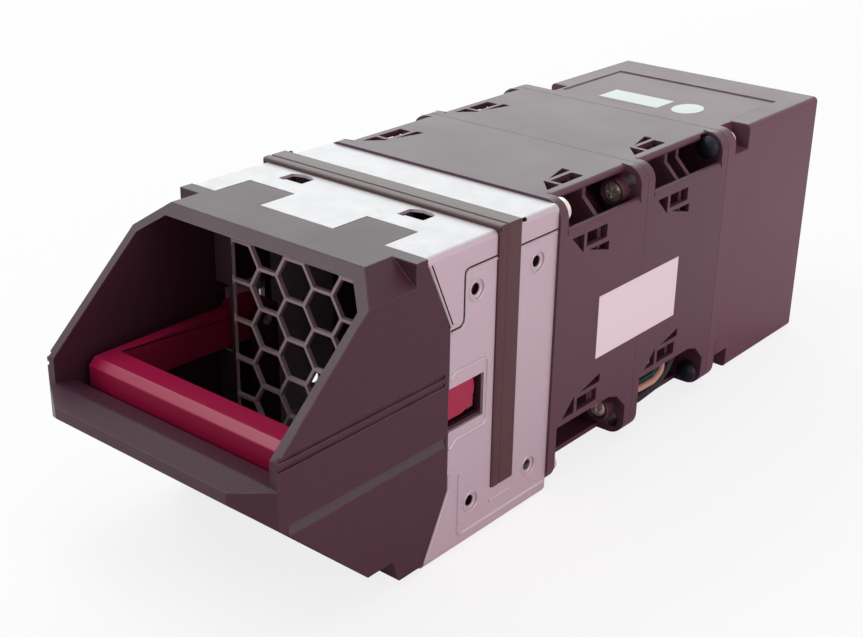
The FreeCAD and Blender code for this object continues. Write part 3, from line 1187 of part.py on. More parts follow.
os.makedirs("parts", exist_ok=True)
for piece in finished:
    piece.Shape.exportStep(f"parts/{piece.Label}.step")
    box = piece.Shape.BoundBox
    print(f"{piece.Label}: {len(piece.Shape.Solids)} solid(s), {piece.Shape.Volume:.0f} mm3, "
          f"x {box.XMin:.1f}..{box.XMax:.1f} y {box.YMin:.1f}..{box.YMax:.1f} z {box.ZMin:.1f}..{box.ZMax:.1f}")
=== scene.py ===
import math

import bmesh
import bpy
from mathutils import Matrix, Vector


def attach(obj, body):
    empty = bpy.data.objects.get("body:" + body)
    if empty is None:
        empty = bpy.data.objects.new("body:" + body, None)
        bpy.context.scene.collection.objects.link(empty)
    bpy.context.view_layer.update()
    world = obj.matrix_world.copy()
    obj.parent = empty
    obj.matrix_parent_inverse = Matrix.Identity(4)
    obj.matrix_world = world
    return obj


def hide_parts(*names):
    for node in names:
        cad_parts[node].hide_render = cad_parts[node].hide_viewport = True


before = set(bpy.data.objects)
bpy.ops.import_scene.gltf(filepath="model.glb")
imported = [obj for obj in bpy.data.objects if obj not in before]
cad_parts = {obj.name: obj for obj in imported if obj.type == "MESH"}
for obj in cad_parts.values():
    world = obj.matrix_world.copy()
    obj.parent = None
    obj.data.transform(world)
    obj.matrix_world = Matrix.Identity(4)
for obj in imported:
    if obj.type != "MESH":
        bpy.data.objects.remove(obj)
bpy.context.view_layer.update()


# ---- front hood ----------------------------------------------------------------------------------
# The hood is one deep moulding in charcoal glass-filled nylon with a spark-eroded grain. Its collar
# slides into the steel sleeve, with pits in it under the lances and behind the sleeve's side holes.
# A thin grey ledge runs along each side, and the slanted mouth leaves room for a hand.

MM = 0.001
MIDDLE = 71.75  # mm from the sleeve's front edge to the middle of the module
AXIS_HEIGHT = 42.4  # mm from the rest plane to the fans' axis
WELD = 0.002 * MM
SIDES = (-1, 1)
LANCES = (-22.4, 18.1)  # middles of the two lances, across
HOLES_ALONG = (17.8, 41.8)
HOLES_UP = (26.6, -30.5)


def spot(across, along, up):
    """A point from sizes in mm: from the middle, from the sleeve's front edge and from the fans' axis."""
    return Vector((across, along - MIDDLE, up + AXIS_HEIGHT)) * MM


def oval(middle, reach, steps, closing=0):
    """Points in mm round an oval, with the first one given again if it has to close."""
    turns = [math.radians(360 / steps * k) for k in range(steps + closing)]
    return [(middle[0] + reach[0] * math.cos(turn), middle[1] + reach[1] * math.sin(turn)) for turn in turns]


def placed(name, data):
    """A new object in the scene, at the origin."""
    thing = bpy.data.objects.new(name, data)
    bpy.context.scene.collection.objects.link(thing)
    return thing


def skinned(shape, rings):
    """Closes a row of rings of a bmesh's vertices into a skin with two end caps."""
    faces = [shape.faces.new(rings[0]), shape.faces.new(rings[-1])]
    for near, far in zip(rings, rings[1:]):
        for k in range(len(near)):
            faces.append(shape.faces.new((near[k - 1], near[k], far[k], far[k - 1])))
    bmesh.ops.recalc_face_normals(shape, faces=faces)


def drawn_out(shape, outline, axis, start, end):
    """Adds a closed bar to a bmesh: an outline in the other two axes, drawn out along this one."""
    rings = []
    for station in (start, end):
        places = [list(pair) for pair in outline]
        for place in places:
            place.insert("xyz".index(axis), station)
        rings.append([shape.verts.new(spot(*place)) for place in places])
    skinned(shape, rings)


def worked(shape, tool, operation):
    """Cuts one closed bmesh out of another or joins it on, and gives the result."""
    blanks = []
    for part in (shape, tool):
        mesh = bpy.data.meshes.new("blank")
        part.to_mesh(mesh)
        part.free()
        blanks.append(placed("blank", mesh))
    work = blanks[0].modifiers.new("work", "BOOLEAN")
    work.operation = operation
    work.solver = "EXACT"
    work.object = blanks[1]
    result = bmesh.new()
    result.from_mesh(settled(blanks[0]).data)
    for blank in blanks:
        bpy.data.objects.remove(blank)
    bmesh.ops.remove_doubles(result, verts=result.verts, dist=WELD)
    return result


def copied(node):
    """A CAD piece as a new bmesh with its facets joined up."""
    shape = bmesh.new()
    shape.from_mesh(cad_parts[node].data)
    bmesh.ops.remove_doubles(shape, verts=shape.verts, dist=WELD)
    return shape


def rounded(shape, name, width, segments=2):
    """A finished piece from a bmesh, with a mould's rounded edges, or with sharp ones at width 0."""
    bevel_from, sharp_from = math.radians(28), math.radians(18)
    rough = bpy.data.meshes.new(name)
    shape.to_mesh(rough)
    shape.free()
    for face in rough.polygons:
        face.use_smooth = True
    piece = placed(name, rough)
    if width:
        edge = piece.modifiers.new("rounded edges", "BEVEL")
        edge.width = width
        edge.segments = segments
        edge.limit_method = "ANGLE"
        edge.angle_limit = bevel_from
        edge.use_clamp_overlap = False
        edge.face_strength_mode = "FSTR_AFFECTED"
    else:
        rough.set_sharp_from_angle(angle=sharp_from)
    flats = piece.modifiers.new("flat faces", "WEIGHTED_NORMAL")
    flats.use_face_influence = bool(width)
    flats.keep_sharp = True
    return settled(piece)


def settled(piece):
    """Bakes a piece's modifiers into its mesh."""
    graph = bpy.context.evaluated_depsgraph_get()
    mesh = bpy.data.meshes.new_from_object(piece.evaluated_get(graph), depsgraph=graph)
    mesh.name = piece.name
    piece.modifiers.clear()
    piece.data = mesh
    return piece


def effect(name, inputs, outputs):
    """An empty shader node group with named sockets, and its two end nodes."""
    tree = bpy.data.node_groups.new(name, "ShaderNodeTree")
    for label, start in inputs.items():
        socket = tree.interface.new_socket(label, in_out="INPUT", socket_type="NodeSocketFloat")
        socket.default_value = start
    for label in outputs:
        tree.interface.new_socket(label, in_out="OUTPUT", socket_type="NodeSocketFloat")
    return tree, tree.nodes.new("NodeGroupInput"), tree.nodes.new("NodeGroupOutput")


def wire(tree, kind, settings=(), **inputs):
    """A node with its settings and inputs filled in. An input may be a number or another node's socket."""
    node = tree.nodes.new(kind)
    for name, setting in dict(settings).items():
        setattr(node, name, setting)
    for name, source in inputs.items():
        socket = node.inputs[int(name[1:])] if name[0] == "_" else node.inputs[name.replace("_", " ")]
        if hasattr(source, "is_output"):
            tree.links.new(source, socket)
        else:
            socket.default_value = source
    return node


def math_node(tree, operation, first, second, clamp=False):
    """The result of a sum of two numbers or sockets, held between 0 and 1 if it is clamped."""
    settings = {"operation": operation, "use_clamp": clamp}
    return wire(tree, "ShaderNodeMath", settings, _0=first, _1=second).outputs[0]


def sized(tree, ends):
    """The texture scale that gives features of the group's Size in mm."""
    return math_node(tree, "DIVIDE", 1.0, math_node(tree, "MULTIPLY", ends.outputs["Size"], MM))


def blended(tree, mask, first, second):
    """Two colours mixed by a mask. Each is a colour or another node's socket."""
    return wire(tree, "ShaderNodeMix", {"data_type": "RGBA"}, _0=mask, _6=first, _7=second).outputs[2]


def blank_material(name):
    """A new material, its node tree and its surface."""
    material = bpy.data.materials.new(name)
    material.use_nodes = True
    return material, material.node_tree, material.node_tree.nodes["Principled BSDF"]


def roughened(tree, surface, height, depth):
    """Bumps of a depth in mm on a surface."""
    bump = wire(tree, "ShaderNodeBump", Strength=1.0, Distance=depth * MM, Height=height)
    tree.links.new(bump.outputs[0], surface.inputs["Normal"])


grain, ends, out = effect("spark grain", {"Size": 0.3, "Sparkle": 0.5}, ["Height", "Painted_Glint"])
place = wire(grain, "ShaderNodeTexCoord").outputs["Object"]
per_metre = sized(grain, ends)
fine = wire(grain, "ShaderNodeTexNoise", Vector=place, Scale=per_metre, Detail=3.0, Roughness=0.6)
craters = wire(grain, "ShaderNodeTexVoronoi", {"feature": "F1"}, Vector=place, Scale=per_metre)
crater_height = math_node(grain, "MULTIPLY", craters.outputs["Distance"], 0.5)
height = math_node(grain, "ADD", fine.outputs[0], crater_height)
grain.links.new(height, out.inputs["Height"])
finer = math_node(grain, "MULTIPLY", per_metre, 1.7)
# Painted glints: a noise of pale specks, laid into the base colour to stand for glints of light on the grain.
painted_glint = wire(grain, "ShaderNodeTexNoise", Vector=place, Scale=finer, Detail=1.0)
painted_glint_mask = math_node(grain, "MULTIPLY", math_node(grain, "SUBTRACT", painted_glint.outputs[0], 0.66, True), 6.0, True)
grain.links.new(math_node(grain, "MULTIPLY", painted_glint_mask, ends.outputs["Sparkle"]), out.inputs["Painted_Glint"])

worn, ends, out = effect("rubbed edges", {"Reach": 0.5, "Amount": 0.5}, ["Mask"])
reach = math_node(worn, "MULTIPLY", ends.outputs["Reach"], MM)
round_normal = wire(worn, "ShaderNodeBevel", {"samples": 4}, Radius=reach).outputs[0]
flat_normal = wire(worn, "ShaderNodeNewGeometry").outputs["Normal"]
facing = wire(worn, "ShaderNodeVectorMath", {"operation": "DOT_PRODUCT"}, _0=round_normal, _1=flat_normal)
turned = math_node(worn, "MULTIPLY", math_node(worn, "SUBTRACT", 1.0, facing.outputs["Value"]), 6.0, True)
place = wire(worn, "ShaderNodeTexCoord").outputs["Object"]
patchy = wire(worn, "ShaderNodeTexNoise", Vector=place, Scale=160.0, Detail=4.0).outputs[0]
patchy = math_node(worn, "MULTIPLY", math_node(worn, "SUBTRACT", patchy, 0.3, True), 2.2, True)
mask = math_node(worn, "MULTIPLY", turned, math_node(worn, "MULTIPLY", patchy, ends.outputs["Amount"]), True)
worn.links.new(mask, out.inputs["Mask"])

cloudy, ends, out = effect("cloudy sheen", {"Size": 20.0, "Amount": 0.1}, ["Change"])
place = wire(cloudy, "ShaderNodeTexCoord").outputs["Object"]
per_metre = sized(cloudy, ends)
clouds = wire(cloudy, "ShaderNodeTexNoise", Vector=place, Scale=per_metre, Detail=5.0,
              Roughness=0.55).outputs[0]
change = math_node(cloudy, "MULTIPLY", math_node(cloudy, "SUBTRACT", clouds, 0.5), ends.outputs["Amount"])
cloudy.links.new(change, out.inputs["Change"])


def group(tree, shared, **inputs):
    node = wire(tree, "ShaderNodeGroup", {"node_tree": shared})
    for name, number in inputs.items():
        node.inputs[name].default_value = number
    return node


def moulding(name, colour, edge_colour, roughness, grain_size, depth, glint_share=0.3, wear=0.5, cloud=0.12,
             specular=0.16):
    """Moulded plastic: body colour, paler rubbed edges, a fine grain with painted glints (pale specks laid
    into the base colour) and a sheen that varies a little.
    """
    material, tree, surface = blank_material(name)
    surface.inputs["Specular IOR Level"].default_value = specular
    texture = group(tree, grain, Size=grain_size, Sparkle=glint_share)
    edges = group(tree, worn, Reach=0.45, Amount=wear)
    sheen = group(tree, cloudy, Size=18.0, Amount=cloud)
    shade = blended(tree, edges.outputs["Mask"], (*colour, 1), (*edge_colour, 1))
    # Painted glint: a paler, lit copy of the body colour, shown in the specks.
    painted_glint = (*[min(1.0, 3.2 * part + 0.04) for part in colour], 1)
    bright = blended(tree, texture.outputs["Painted_Glint"], shade, painted_glint)
    tree.links.new(bright, surface.inputs["Base Color"])
    rough = math_node(tree, "ADD", roughness, sheen.outputs["Change"], True)
    tree.links.new(rough, surface.inputs["Roughness"])
    roughened(tree, surface, texture.outputs["Height"], depth)
    return material


def dress(material, *pieces):
    """Gives pieces or CAD nodes a material."""
    for piece in pieces:
        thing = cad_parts[piece] if isinstance(piece, str) else piece
        if not thing.material_slots:
            thing.data.materials.append(material)
        for slot in thing.material_slots:
            slot.material = material


def added(piece):
    """A finished piece that is in no CAD node rides on the chassis."""
    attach(piece, "chassis")


def stands_for(piece, body, slot, *nodes):
    """A finished piece replaces CAD nodes and rides on their body. The slot argument is not used."""
    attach(piece, body)
    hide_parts(*nodes)


hood_black = moulding("hood charcoal", (0.052, 0.016, 0.028), (0.2, 0.17, 0.18), roughness=0.42,
                      grain_size=0.32, depth=0.022, glint_share=0.8, wear=0.7, specular=0.26)
ledges, pits = bmesh.new(), bmesh.new()
ledge_top, ledge_foot, ledge_front, ledge_back = -8.48, -10.92, -44.45, 7.25
for hand in SIDES:
    deep, shelf, skin = hand * 38.5, hand * 38.7, hand * 39.22
    ledge_outline = [(deep, ledge_top), (shelf, ledge_top), (skin, ledge_foot), (deep, ledge_foot)]
    drawn_out(ledges, ledge_outline, "y", ledge_front, ledge_back)
pit_front, pit_back, pit_top, pit_floor, pit_half = 17.9, 24.3, 38.6, 36.6, 3.8
round_pit, pit_inner, pit_outer = (1.9, 1.9), 36.9, 38.6
lance_pit = [(pit_front, pit_top), (pit_back, pit_top), (pit_back, pit_floor), (pit_front, pit_floor)]
for centre in LANCES:
    drawn_out(pits, lance_pit, "x", centre - pit_half, centre + pit_half)
for hand in SIDES:
    for up in HOLES_UP:
        drawn_out(pits, oval((HOLES_ALONG[0], up), round_pit, 18), "x", hand * pit_inner, hand * pit_outer)
hood = rounded(worked(copied("front_hood"), pits, "DIFFERENCE"), "front_hood_moulding", 0.22 * MM)
ledge = rounded(ledges, "side_ledge_bands", 0.05 * MM, 1)
ledge_grey = moulding("ledge grey", (0.075, 0.066, 0.07), (0.12, 0.11, 0.115), roughness=0.4,
                      grain_size=0.4, depth=0.005, glint_share=0.2, wear=0.3)
dress(ledge_grey, ledge)
added(ledge)
dress(hood_black, hood)
stands_for(hood, "chassis", "hood_plastic", "front_hood")


# ---- honeycomb grille ----------------------------------------------------------------------------
# A flat moulded plate of hexagonal holes clipped into the hood's collar, in a paler, rougher grey than the
# hood. Its web's colour is partly painted light: it is raised far above that grey to stand for the light it
# catches against the dark duct behind it. Its dark side borders are painted shade.

# Painted light: the web's body and edge colours are raised well above the plastic's own grey.
grille_lit_and_shaded = moulding("grille grey with painted light", (0.75, 0.58, 0.65), (0.85, 0.68, 0.74), roughness=0.5,
                       grain_size=0.25, depth=0.02, glint_share=0.2, wear=0.2)
tree = grille_lit_and_shaded.node_tree
surface = tree.nodes["Principled BSDF"]
place = wire(tree, "ShaderNodeSeparateXYZ", _0=wire(tree, "ShaderNodeTexCoord").outputs["Object"])
# Painted shade: past the web's edge across, the side borders take a dark colour in the same material.
web_half, border_painted_shade = 29.95, (0.075, 0.045, 0.058, 1)
shaded_border_mask = math_node(tree, "GREATER_THAN", math_node(tree, "ABSOLUTE", place.outputs["X"], 0.0), web_half * MM)
web_painted_light = surface.inputs["Base Color"].links[0].from_socket
tree.links.new(blended(tree, shaded_border_mask, web_painted_light, border_painted_shade), surface.inputs["Base Color"])
grille = rounded(copied("honeycomb_grille"), "honeycomb_web", 0.18 * MM, 1)
dress(grille_lit_and_shaded, grille)
stands_for(grille, "chassis", "grille_plastic", "honeycomb_grille")


# ---- pull handle ---------------------------------------------------------------------------------
# A crimson U-shaped moulding with a smooth satin finish. It hinges on two steel pins behind the grille
# and ends in the latch pads that show in the sleeve's side windows.

crimson = moulding("handle crimson", (0.34, 0.008, 0.052), (0.46, 0.05, 0.11), roughness=0.3,
                   grain_size=0.5, depth=0.006, glint_share=0.0, wear=0.35, cloud=0.06, specular=0.32)
pads = bmesh.new()
pad_front, pad_back, pad_low, pad_top = 12.0, 19.6, -5.0, 4.8
pad_outline = [(pad_front, pad_low), (pad_back, pad_low), (pad_back, pad_top), (pad_front, pad_top)]
pad_inner, pad_outer = 36.9, 37.65
for hand in SIDES:
    drawn_out(pads, pad_outline, "x", hand * pad_inner, hand * pad_outer)
grip = worked(copied("pull_handle"), pads, "UNION")
bmesh.ops.dissolve_limit(grip, angle_limit=math.radians(0.5), verts=grip.verts, edges=grip.edges)
pull = rounded(grip, "crimson_handle", 0.25 * MM, 3)
dress(crimson, pull)
stands_for(pull, "handle", "handle_plastic", "pull_handle")


# ---- steel sleeve --------------------------------------------------------------------------------
# Two bent sheets of zinc-coated steel, 0.8 mm thick, wrap the hood's collar up to the first fan.
# The coating is bright, with faint rolling lines and small spangles. The beads, hems and rims are
# pressed in the sheet, and two lances are slit in the top.

def plated(name, colour, roughness, lines, spangle, metal=1.0):
    """Coated or plated steel: faint rolling lines, a little spangle and slightly darker rubbed edges."""
    material, tree, surface = blank_material(name)
    surface.inputs["Metallic"].default_value = metal
    sheen = group(tree, cloudy, Size=9.0, Amount=0.16)
    edges = group(tree, worn, Reach=0.3, Amount=0.6)
    place = wire(tree, "ShaderNodeTexCoord").outputs["Object"]
    stretched = wire(tree, "ShaderNodeMapping", Vector=place, Scale=(900.0, 40.0, 900.0)).outputs[0]
    rolled = wire(tree, "ShaderNodeTexNoise", Vector=stretched, Scale=1.0, Detail=3.0).outputs[0]
    flakes = wire(tree, "ShaderNodeTexVoronoi", {"feature": "F1"}, Vector=place, Scale=420.0).outputs["Color"]
    level = wire(tree, "ShaderNodeSeparateColor", _0=flakes).outputs[0]
    tone = math_node(tree, "ADD", math_node(tree, "MULTIPLY", rolled, lines),
                     math_node(tree, "MULTIPLY", level, spangle))
    dark, darker = [(*[part * share for part in colour], 1) for share in (0.86, 0.72)]
    shade = blended(tree, tone, (*colour, 1), dark)
    tree.links.new(blended(tree, edges.outputs["Mask"], shade, darker), surface.inputs["Base Color"])
    rough = math_node(tree, "ADD", math_node(tree, "ADD", roughness, sheen.outputs["Change"]),
                      math_node(tree, "MULTIPLY", level, 0.06), True)
    tree.links.new(rough, surface.inputs["Roughness"])
    roughened(tree, surface, rolled, 0.004)
    return material


def shape_tree(name, numbers):
    """A Geometry Nodes tree with a shape, named numbers and a Finish going in and one shape coming out."""
    tree = bpy.data.node_groups.new(name, "GeometryNodeTree")
    tree.is_modifier = True
    tree.interface.new_socket("Geometry", in_out="INPUT", socket_type="NodeSocketGeometry")
    for label, start in numbers.items():
        socket = tree.interface.new_socket(label, in_out="INPUT", socket_type="NodeSocketFloat")
        socket.default_value = start
    tree.interface.new_socket("Finish", in_out="INPUT", socket_type="NodeSocketMaterial")
    tree.interface.new_socket("Geometry", in_out="OUTPUT", socket_type="NodeSocketGeometry")
    return tree, tree.nodes.new("NodeGroupInput"), tree.nodes.new("NodeGroupOutput")


def finished(tree, shape, ends, out):
    """Ends a Geometry Nodes tree: real geometry in the Finish material."""
    solid = wire(tree, "GeometryNodeRealizeInstances", Geometry=shape).outputs[0]
    dressed = wire(tree, "GeometryNodeSetMaterial", Geometry=solid, Material=ends.outputs["Finish"])
    tree.links.new(dressed.outputs[0], out.inputs[0])
    return tree


def sweep_tree():
    """Geometry Nodes that follow an edge path with a round bar, its corners turned to a radius."""
    tree, ends, out = shape_tree("round bar on a path", {"Bar Radius": 0.3 * MM, "Corner Radius": 1.2 * MM})
    path = wire(tree, "GeometryNodeMeshToCurve", Mesh=ends.outputs["Geometry"]).outputs[0]
    turned = tree.nodes.new("GeometryNodeFilletCurve")
    if hasattr(turned, "mode"):
        turned.mode = "POLY"
    tree.links.new(path, turned.inputs["Curve"])
    turned.inputs["Count"].default_value = 5
    turned.inputs["Limit Radius"].default_value = True
    tree.links.new(ends.outputs["Corner Radius"], turned.inputs["Radius"])
    ring = wire(tree, "GeometryNodeCurvePrimitiveCircle", Resolution=10, Radius=ends.outputs["Bar Radius"])
    bar = wire(tree, "GeometryNodeCurveToMesh", Curve=turned.outputs[0], Profile_Curve=ring.outputs[0],
               Fill_Caps=True).outputs[0]
    smooth = wire(tree, "GeometryNodeSetShadeSmooth", Geometry=bar).outputs[0]
    return finished(tree, smooth, ends, out)


def grown(blank, tree, name, **inputs):
    """The plain mesh that a Geometry Nodes tree makes from a blank mesh."""
    piece = placed(name, blank)
    steps = piece.modifiers.new("steps", "NODES")
    steps.node_group = tree
    for item in tree.interface.items_tree:
        key = item.name.replace(" ", "_")
        if item.in_out == "INPUT" and key in inputs:
            steps[item.identifier] = inputs[key]
    return settled(piece)


def bars(name, paths, radius, corner, finish):
    """Round bars along paths, each a list of points in mm."""
    blank = bpy.data.meshes.new(name)
    points, edges = [], []
    for path in paths:
        edges += [(len(points) + k, len(points) + k + 1) for k in range(len(path) - 1)]
        points += [spot(*point) for point in path]
    blank.from_pydata(points, edges, [])
    return grown(blank, bar_on_path, name, Bar_Radius=radius * MM, Corner_Radius=corner * MM, Finish=finish)


bar_on_path = sweep_tree()
zinc = plated("zinc coated steel", (0.53, 0.475, 0.5), roughness=0.44, lines=0.2, spangle=0.05, metal=0.4)
# Painted shade: a near-black finish for round bars that stand for the shade in the sleeve's seam gaps and the
# gasket's corner folds.
gap_shadow_dark = moulding("seam shadow", (0.012, 0.008, 0.01), (0.03, 0.03, 0.03), roughness=0.6, grain_size=0.5,
                     depth=0.002, glint_share=0.0, wear=0.0)
side_holes = [(hand, along, up) for hand in SIDES for along in HOLES_ALONG for up in HOLES_UP]
bowl_inner, bowl_outer, bowl_depth, bowl_skin = 1.8 * MM, 3.75 * MM, 0.8 * MM, 39.13
cover_cuts = bmesh.new()
for hand, along, up in side_holes:
    turn = Matrix.Rotation(hand * math.radians(90), 4, "Y")
    bmesh.ops.create_cone(cover_cuts, cap_ends=True, segments=36, radius1=bowl_inner, radius2=bowl_outer,
                          depth=bowl_depth,
                          matrix=Matrix.Translation(spot(hand * bowl_skin, along, up)) @ turn)
channel_cuts = cover_cuts.copy()
arch = [(-3.85, 22.5), (3.85, 22.5), (3.6, 23.1), (1.9, 23.9), (-0.9, 24.1), (-2.9, 23.3), (-3.85, 22.6)]
for centre in LANCES:
    drawn_out(cover_cuts, [(centre + across, along) for across, along in arch], "z", 38.2, 39.5)
cut_cover = worked(copied("sleeve_top_cover"), cover_cuts, "DIFFERENCE")
cover = rounded(cut_cover, "sleeve_cover_sheet", 0)
cut_channel = worked(copied("sleeve_lower_channel"), channel_cuts, "DIFFERENCE")
channel = rounded(cut_channel, "sleeve_channel_sheet", 0)
dress(zinc, cover, channel)
stands_for(cover, "chassis", "sleeve_steel", "sleeve_top_cover")
stands_for(channel, "chassis", "sleeve_steel", "sleeve_lower_channel")


def both_sides(*lines):
    """Paths on both sides of the sleeve from lines of one side, each its skin and then its points."""
    return [[(hand * skin, along, up) for along, up in path] for hand in SIDES for skin, *path in lines]


pressed = both_sides((39.2, (8.6, 6.4), (10.4, 7.7), (22.9, 7.7), (22.9, -10.3), (11.4, -10.3), (8.6, -12.2)),
                     (39.2, (12.7, -20.9), (12.9, -37.6)),
                     (39.1, (25.2, -33.8), (33.4, -33.8)),
                     (39.2, (8.75, -19.2), (8.75, -23.6), (0.6, -39.4)))
hems = both_sides((38.85, (12.9, -35.0), (12.9, -38.4), (48.8, -38.4)))
seams = both_sides((39.2, (8.8, 18.4), (13.7, 18.4), (13.7, 32.25), (49.4, 32.25)),
                   (39.2, (0.7, 37.2), (8.75, 19.9)))
# Painted shade: dark bars half sunk in the sheet along each seam gap.
gap_shadow_paths = both_sides((39.12, (8.5, 19.0), (13.15, 19.0), (13.15, 32.97), (49.6, 32.97)),
                  (39.12, (1.3, 37.3), (9.1, 20.5)))
rim_skin, rim_reach = 39.16, (2.75, 2.75)
rims = [[(hand * rim_skin, *point) for point in oval((along, up), rim_reach, 24, 1)]
        for hand, along, up in side_holes]
bend = 1.8
sheet_details = (("dimple_rims", rims, 0.32, zinc),
                 ("pressed_beads", pressed, 0.45, zinc),
                 ("bottom_hems", hems, 0.85, zinc),
                 ("rolled_seam_edges", seams, 0.33, zinc),
                 ("seam_gaps", gap_shadow_paths, 0.27, gap_shadow_dark))
for name, paths, radius, finish in sheet_details:
    added(bars(name, paths, radius, bend, finish))

lances = bmesh.new()
tongue = [(17.85, 39.18), (17.85, 38.75), (21.9, 37.05), (22.2, 37.3), (18.6, 39.15)]
for centre in LANCES:
    drawn_out(lances, tongue, "x", centre - 2.1, centre + 3.85)
tongues = rounded(lances, "lance_tongues", 0.1 * MM)
dress(zinc, tongues)
added(tongues)


# ---- gasket --------------------------------------------------------------------------------------
# A strip of foam wrapped in dark conductive fabric, stuck over the top of the sleeve and down both sides.
# It seals the bay against radio noise. The fabric is folded over at the top corners.

fabric, tree, surface = blank_material("conductive fabric")
place = wire(tree, "ShaderNodeTexCoord").outputs["Object"]
weave = []
for direction in ("X", "Y", "Z"):
    settings = {"wave_type": "BANDS", "bands_direction": direction, "wave_profile": "SIN"}
    bands = wire(tree, "ShaderNodeTexWave", settings, Vector=place, Scale=480.0, Distortion=0.6, Detail=1.0)
    weave.append(bands.outputs[1])
threads = math_node(tree, "MULTIPLY", math_node(tree, "MAXIMUM", weave[0], weave[2]), weave[1])
sheen = group(tree, cloudy, Size=6.0, Amount=0.5)
tone = math_node(tree, "ADD", math_node(tree, "MULTIPLY", threads, 0.7), sheen.outputs["Change"], True)
furrow_shade, thread_shade = (0.055, 0.016, 0.019, 1), (0.11, 0.042, 0.048, 1)
tree.links.new(blended(tree, tone, furrow_shade, thread_shade), surface.inputs["Base Color"])
surface.inputs["Roughness"].default_value = 0.42
surface.inputs["Specular IOR Level"].default_value = 0.4
roughened(tree, surface, threads, 0.02)
section = [(25.8, 0.0), (25.95, 0.45), (26.5, 0.62), (28.3, 0.66), (28.75, 0.4), (29.3, 0.62), (34.1, 0.62),
           (34.65, 0.45), (34.8, 0.0)]
strap = bmesh.new()
skin = 39.25
foot, corner = (-30.0, 0.0, 0.35), (skin, 1.7, 0.7)
rings = []
for hand, (up, lift, lean) in ((1, foot), (1, corner), (-1, corner), (-1, foot)):
    rings.append([strap.verts.new(spot(hand * (skin + proud), along - lean, up + lift * proud))
                  for along, proud in section])
skinned(strap, rings)
strip = rounded(strap, "gasket_strip", 0.12 * MM)
dress(fabric, strip)
stands_for(strip, "chassis", "gasket_fabric", "emi_gasket")
# Painted shade: short dark bars at the gasket's folded top corners.
fold_across, fold_up, fold_radius, fold_bend = 39.35, 39.3, 0.55, 0.1
fold_paths = [[(hand * fold_across, along - 0.25, fold_up), (hand * fold_across, along + 0.35, fold_up)]
              for hand in SIDES for along in (25.7, 35.2)]
fold_shadows = bars("gasket_fold_holes", fold_paths, fold_radius, fold_bend, gap_shadow_dark)
added(fold_shadows)


# ---- fan frames ----------------------------------------------------------------------------------
# Two square frames in black glass-filled polyester, joined flange to flange. Smooth plates close the
# sides, and the corners are open, with the round barrel and its webs behind. The bottom plates reach
# further out than the others.

frame_black = moulding("frame black", (0.082, 0.03, 0.047), (0.17, 0.12, 0.14), roughness=0.44,
                       grain_size=0.6, depth=0.01, glint_share=0.1, wear=0.4, specular=0.38)
plate_under, plate_over = -39.95, -38.5
for letter, front, back in (("a", 53.3, 86.7), ("b", 93.7, 129.6)):
    shape = copied(f"fan_{letter}_frame")
    for inner, outer in ((-31.2, -23.8), (23.8, 31.2)):
        strip_outline = [(inner, plate_under), (outer, plate_under), (outer, plate_over), (inner, plate_over)]
        drawn_out(shape, strip_outline, "y", front, back)
    body = rounded(shape, f"fan_{letter}_housing", 0.16 * MM)
    dress(frame_black, body)
    stands_for(body, "chassis", "frame_plastic", f"fan_{letter}_frame")


# ---- motors and impellers ------------------------------------------------------------------------
# Inside each frame an impeller turns round an outer-rotor motor: steel cup, ferrite ring, copper coils on
# a laminated core, and a shaft in two ball bearings. Next to none of it shows, so the CAD shapes stay.

rotor_black = moulding("impeller black", (0.018, 0.012, 0.014), (0.05, 0.04, 0.045), roughness=0.4,
                       grain_size=0.7, depth=0.01, glint_share=0.0, wear=0.3)
turned_steel = plated("turned steel", (0.62, 0.62, 0.63), roughness=0.25, lines=0.2, spangle=0.0)
core_steel = plated("core laminations", (0.42, 0.42, 0.44), roughness=0.42, lines=0.9, spangle=0.0)
copper = plated("enamelled copper", (0.72, 0.36, 0.2), roughness=0.32, lines=0.8, spangle=0.0)
brass = plated("turned brass", (0.74, 0.58, 0.3), roughness=0.3, lines=0.3, spangle=0.0)
ferrite = moulding("ferrite", (0.07, 0.07, 0.075), (0.13, 0.13, 0.13), roughness=0.6, grain_size=0.4,
                   depth=0.02, glint_share=0.2, wear=0.2)
laminate = moulding("board green", (0.03, 0.16, 0.07), (0.2, 0.25, 0.15), roughness=0.35, grain_size=1.0,
                    depth=0.005, glint_share=0.0, wear=0.3)
for letter in "ab":
    dress(rotor_black, f"fan_{letter}_impeller")
    dress(turned_steel, f"fan_{letter}_shaft", f"fan_{letter}_shaft_clip", f"fan_{letter}_ball_bearings",
          f"fan_{letter}_rotor_cup")
    dress(core_steel, f"fan_{letter}_stator_core")
    dress(copper, f"fan_{letter}_coils")
    dress(brass, f"fan_{letter}_bearing_tube")
    dress(ferrite, f"fan_{letter}_magnet_ring")
    dress(laminate, f"fan_{letter}_circuit_board")


# ---- rear housing and connector ------------------------------------------------------------------
# The rear housing is a square duct in the same black plastic, screwed to the second fan's flange.
# The blind-mate plug sits on its floor at the open end, and a plate and an oval on its top are bare.

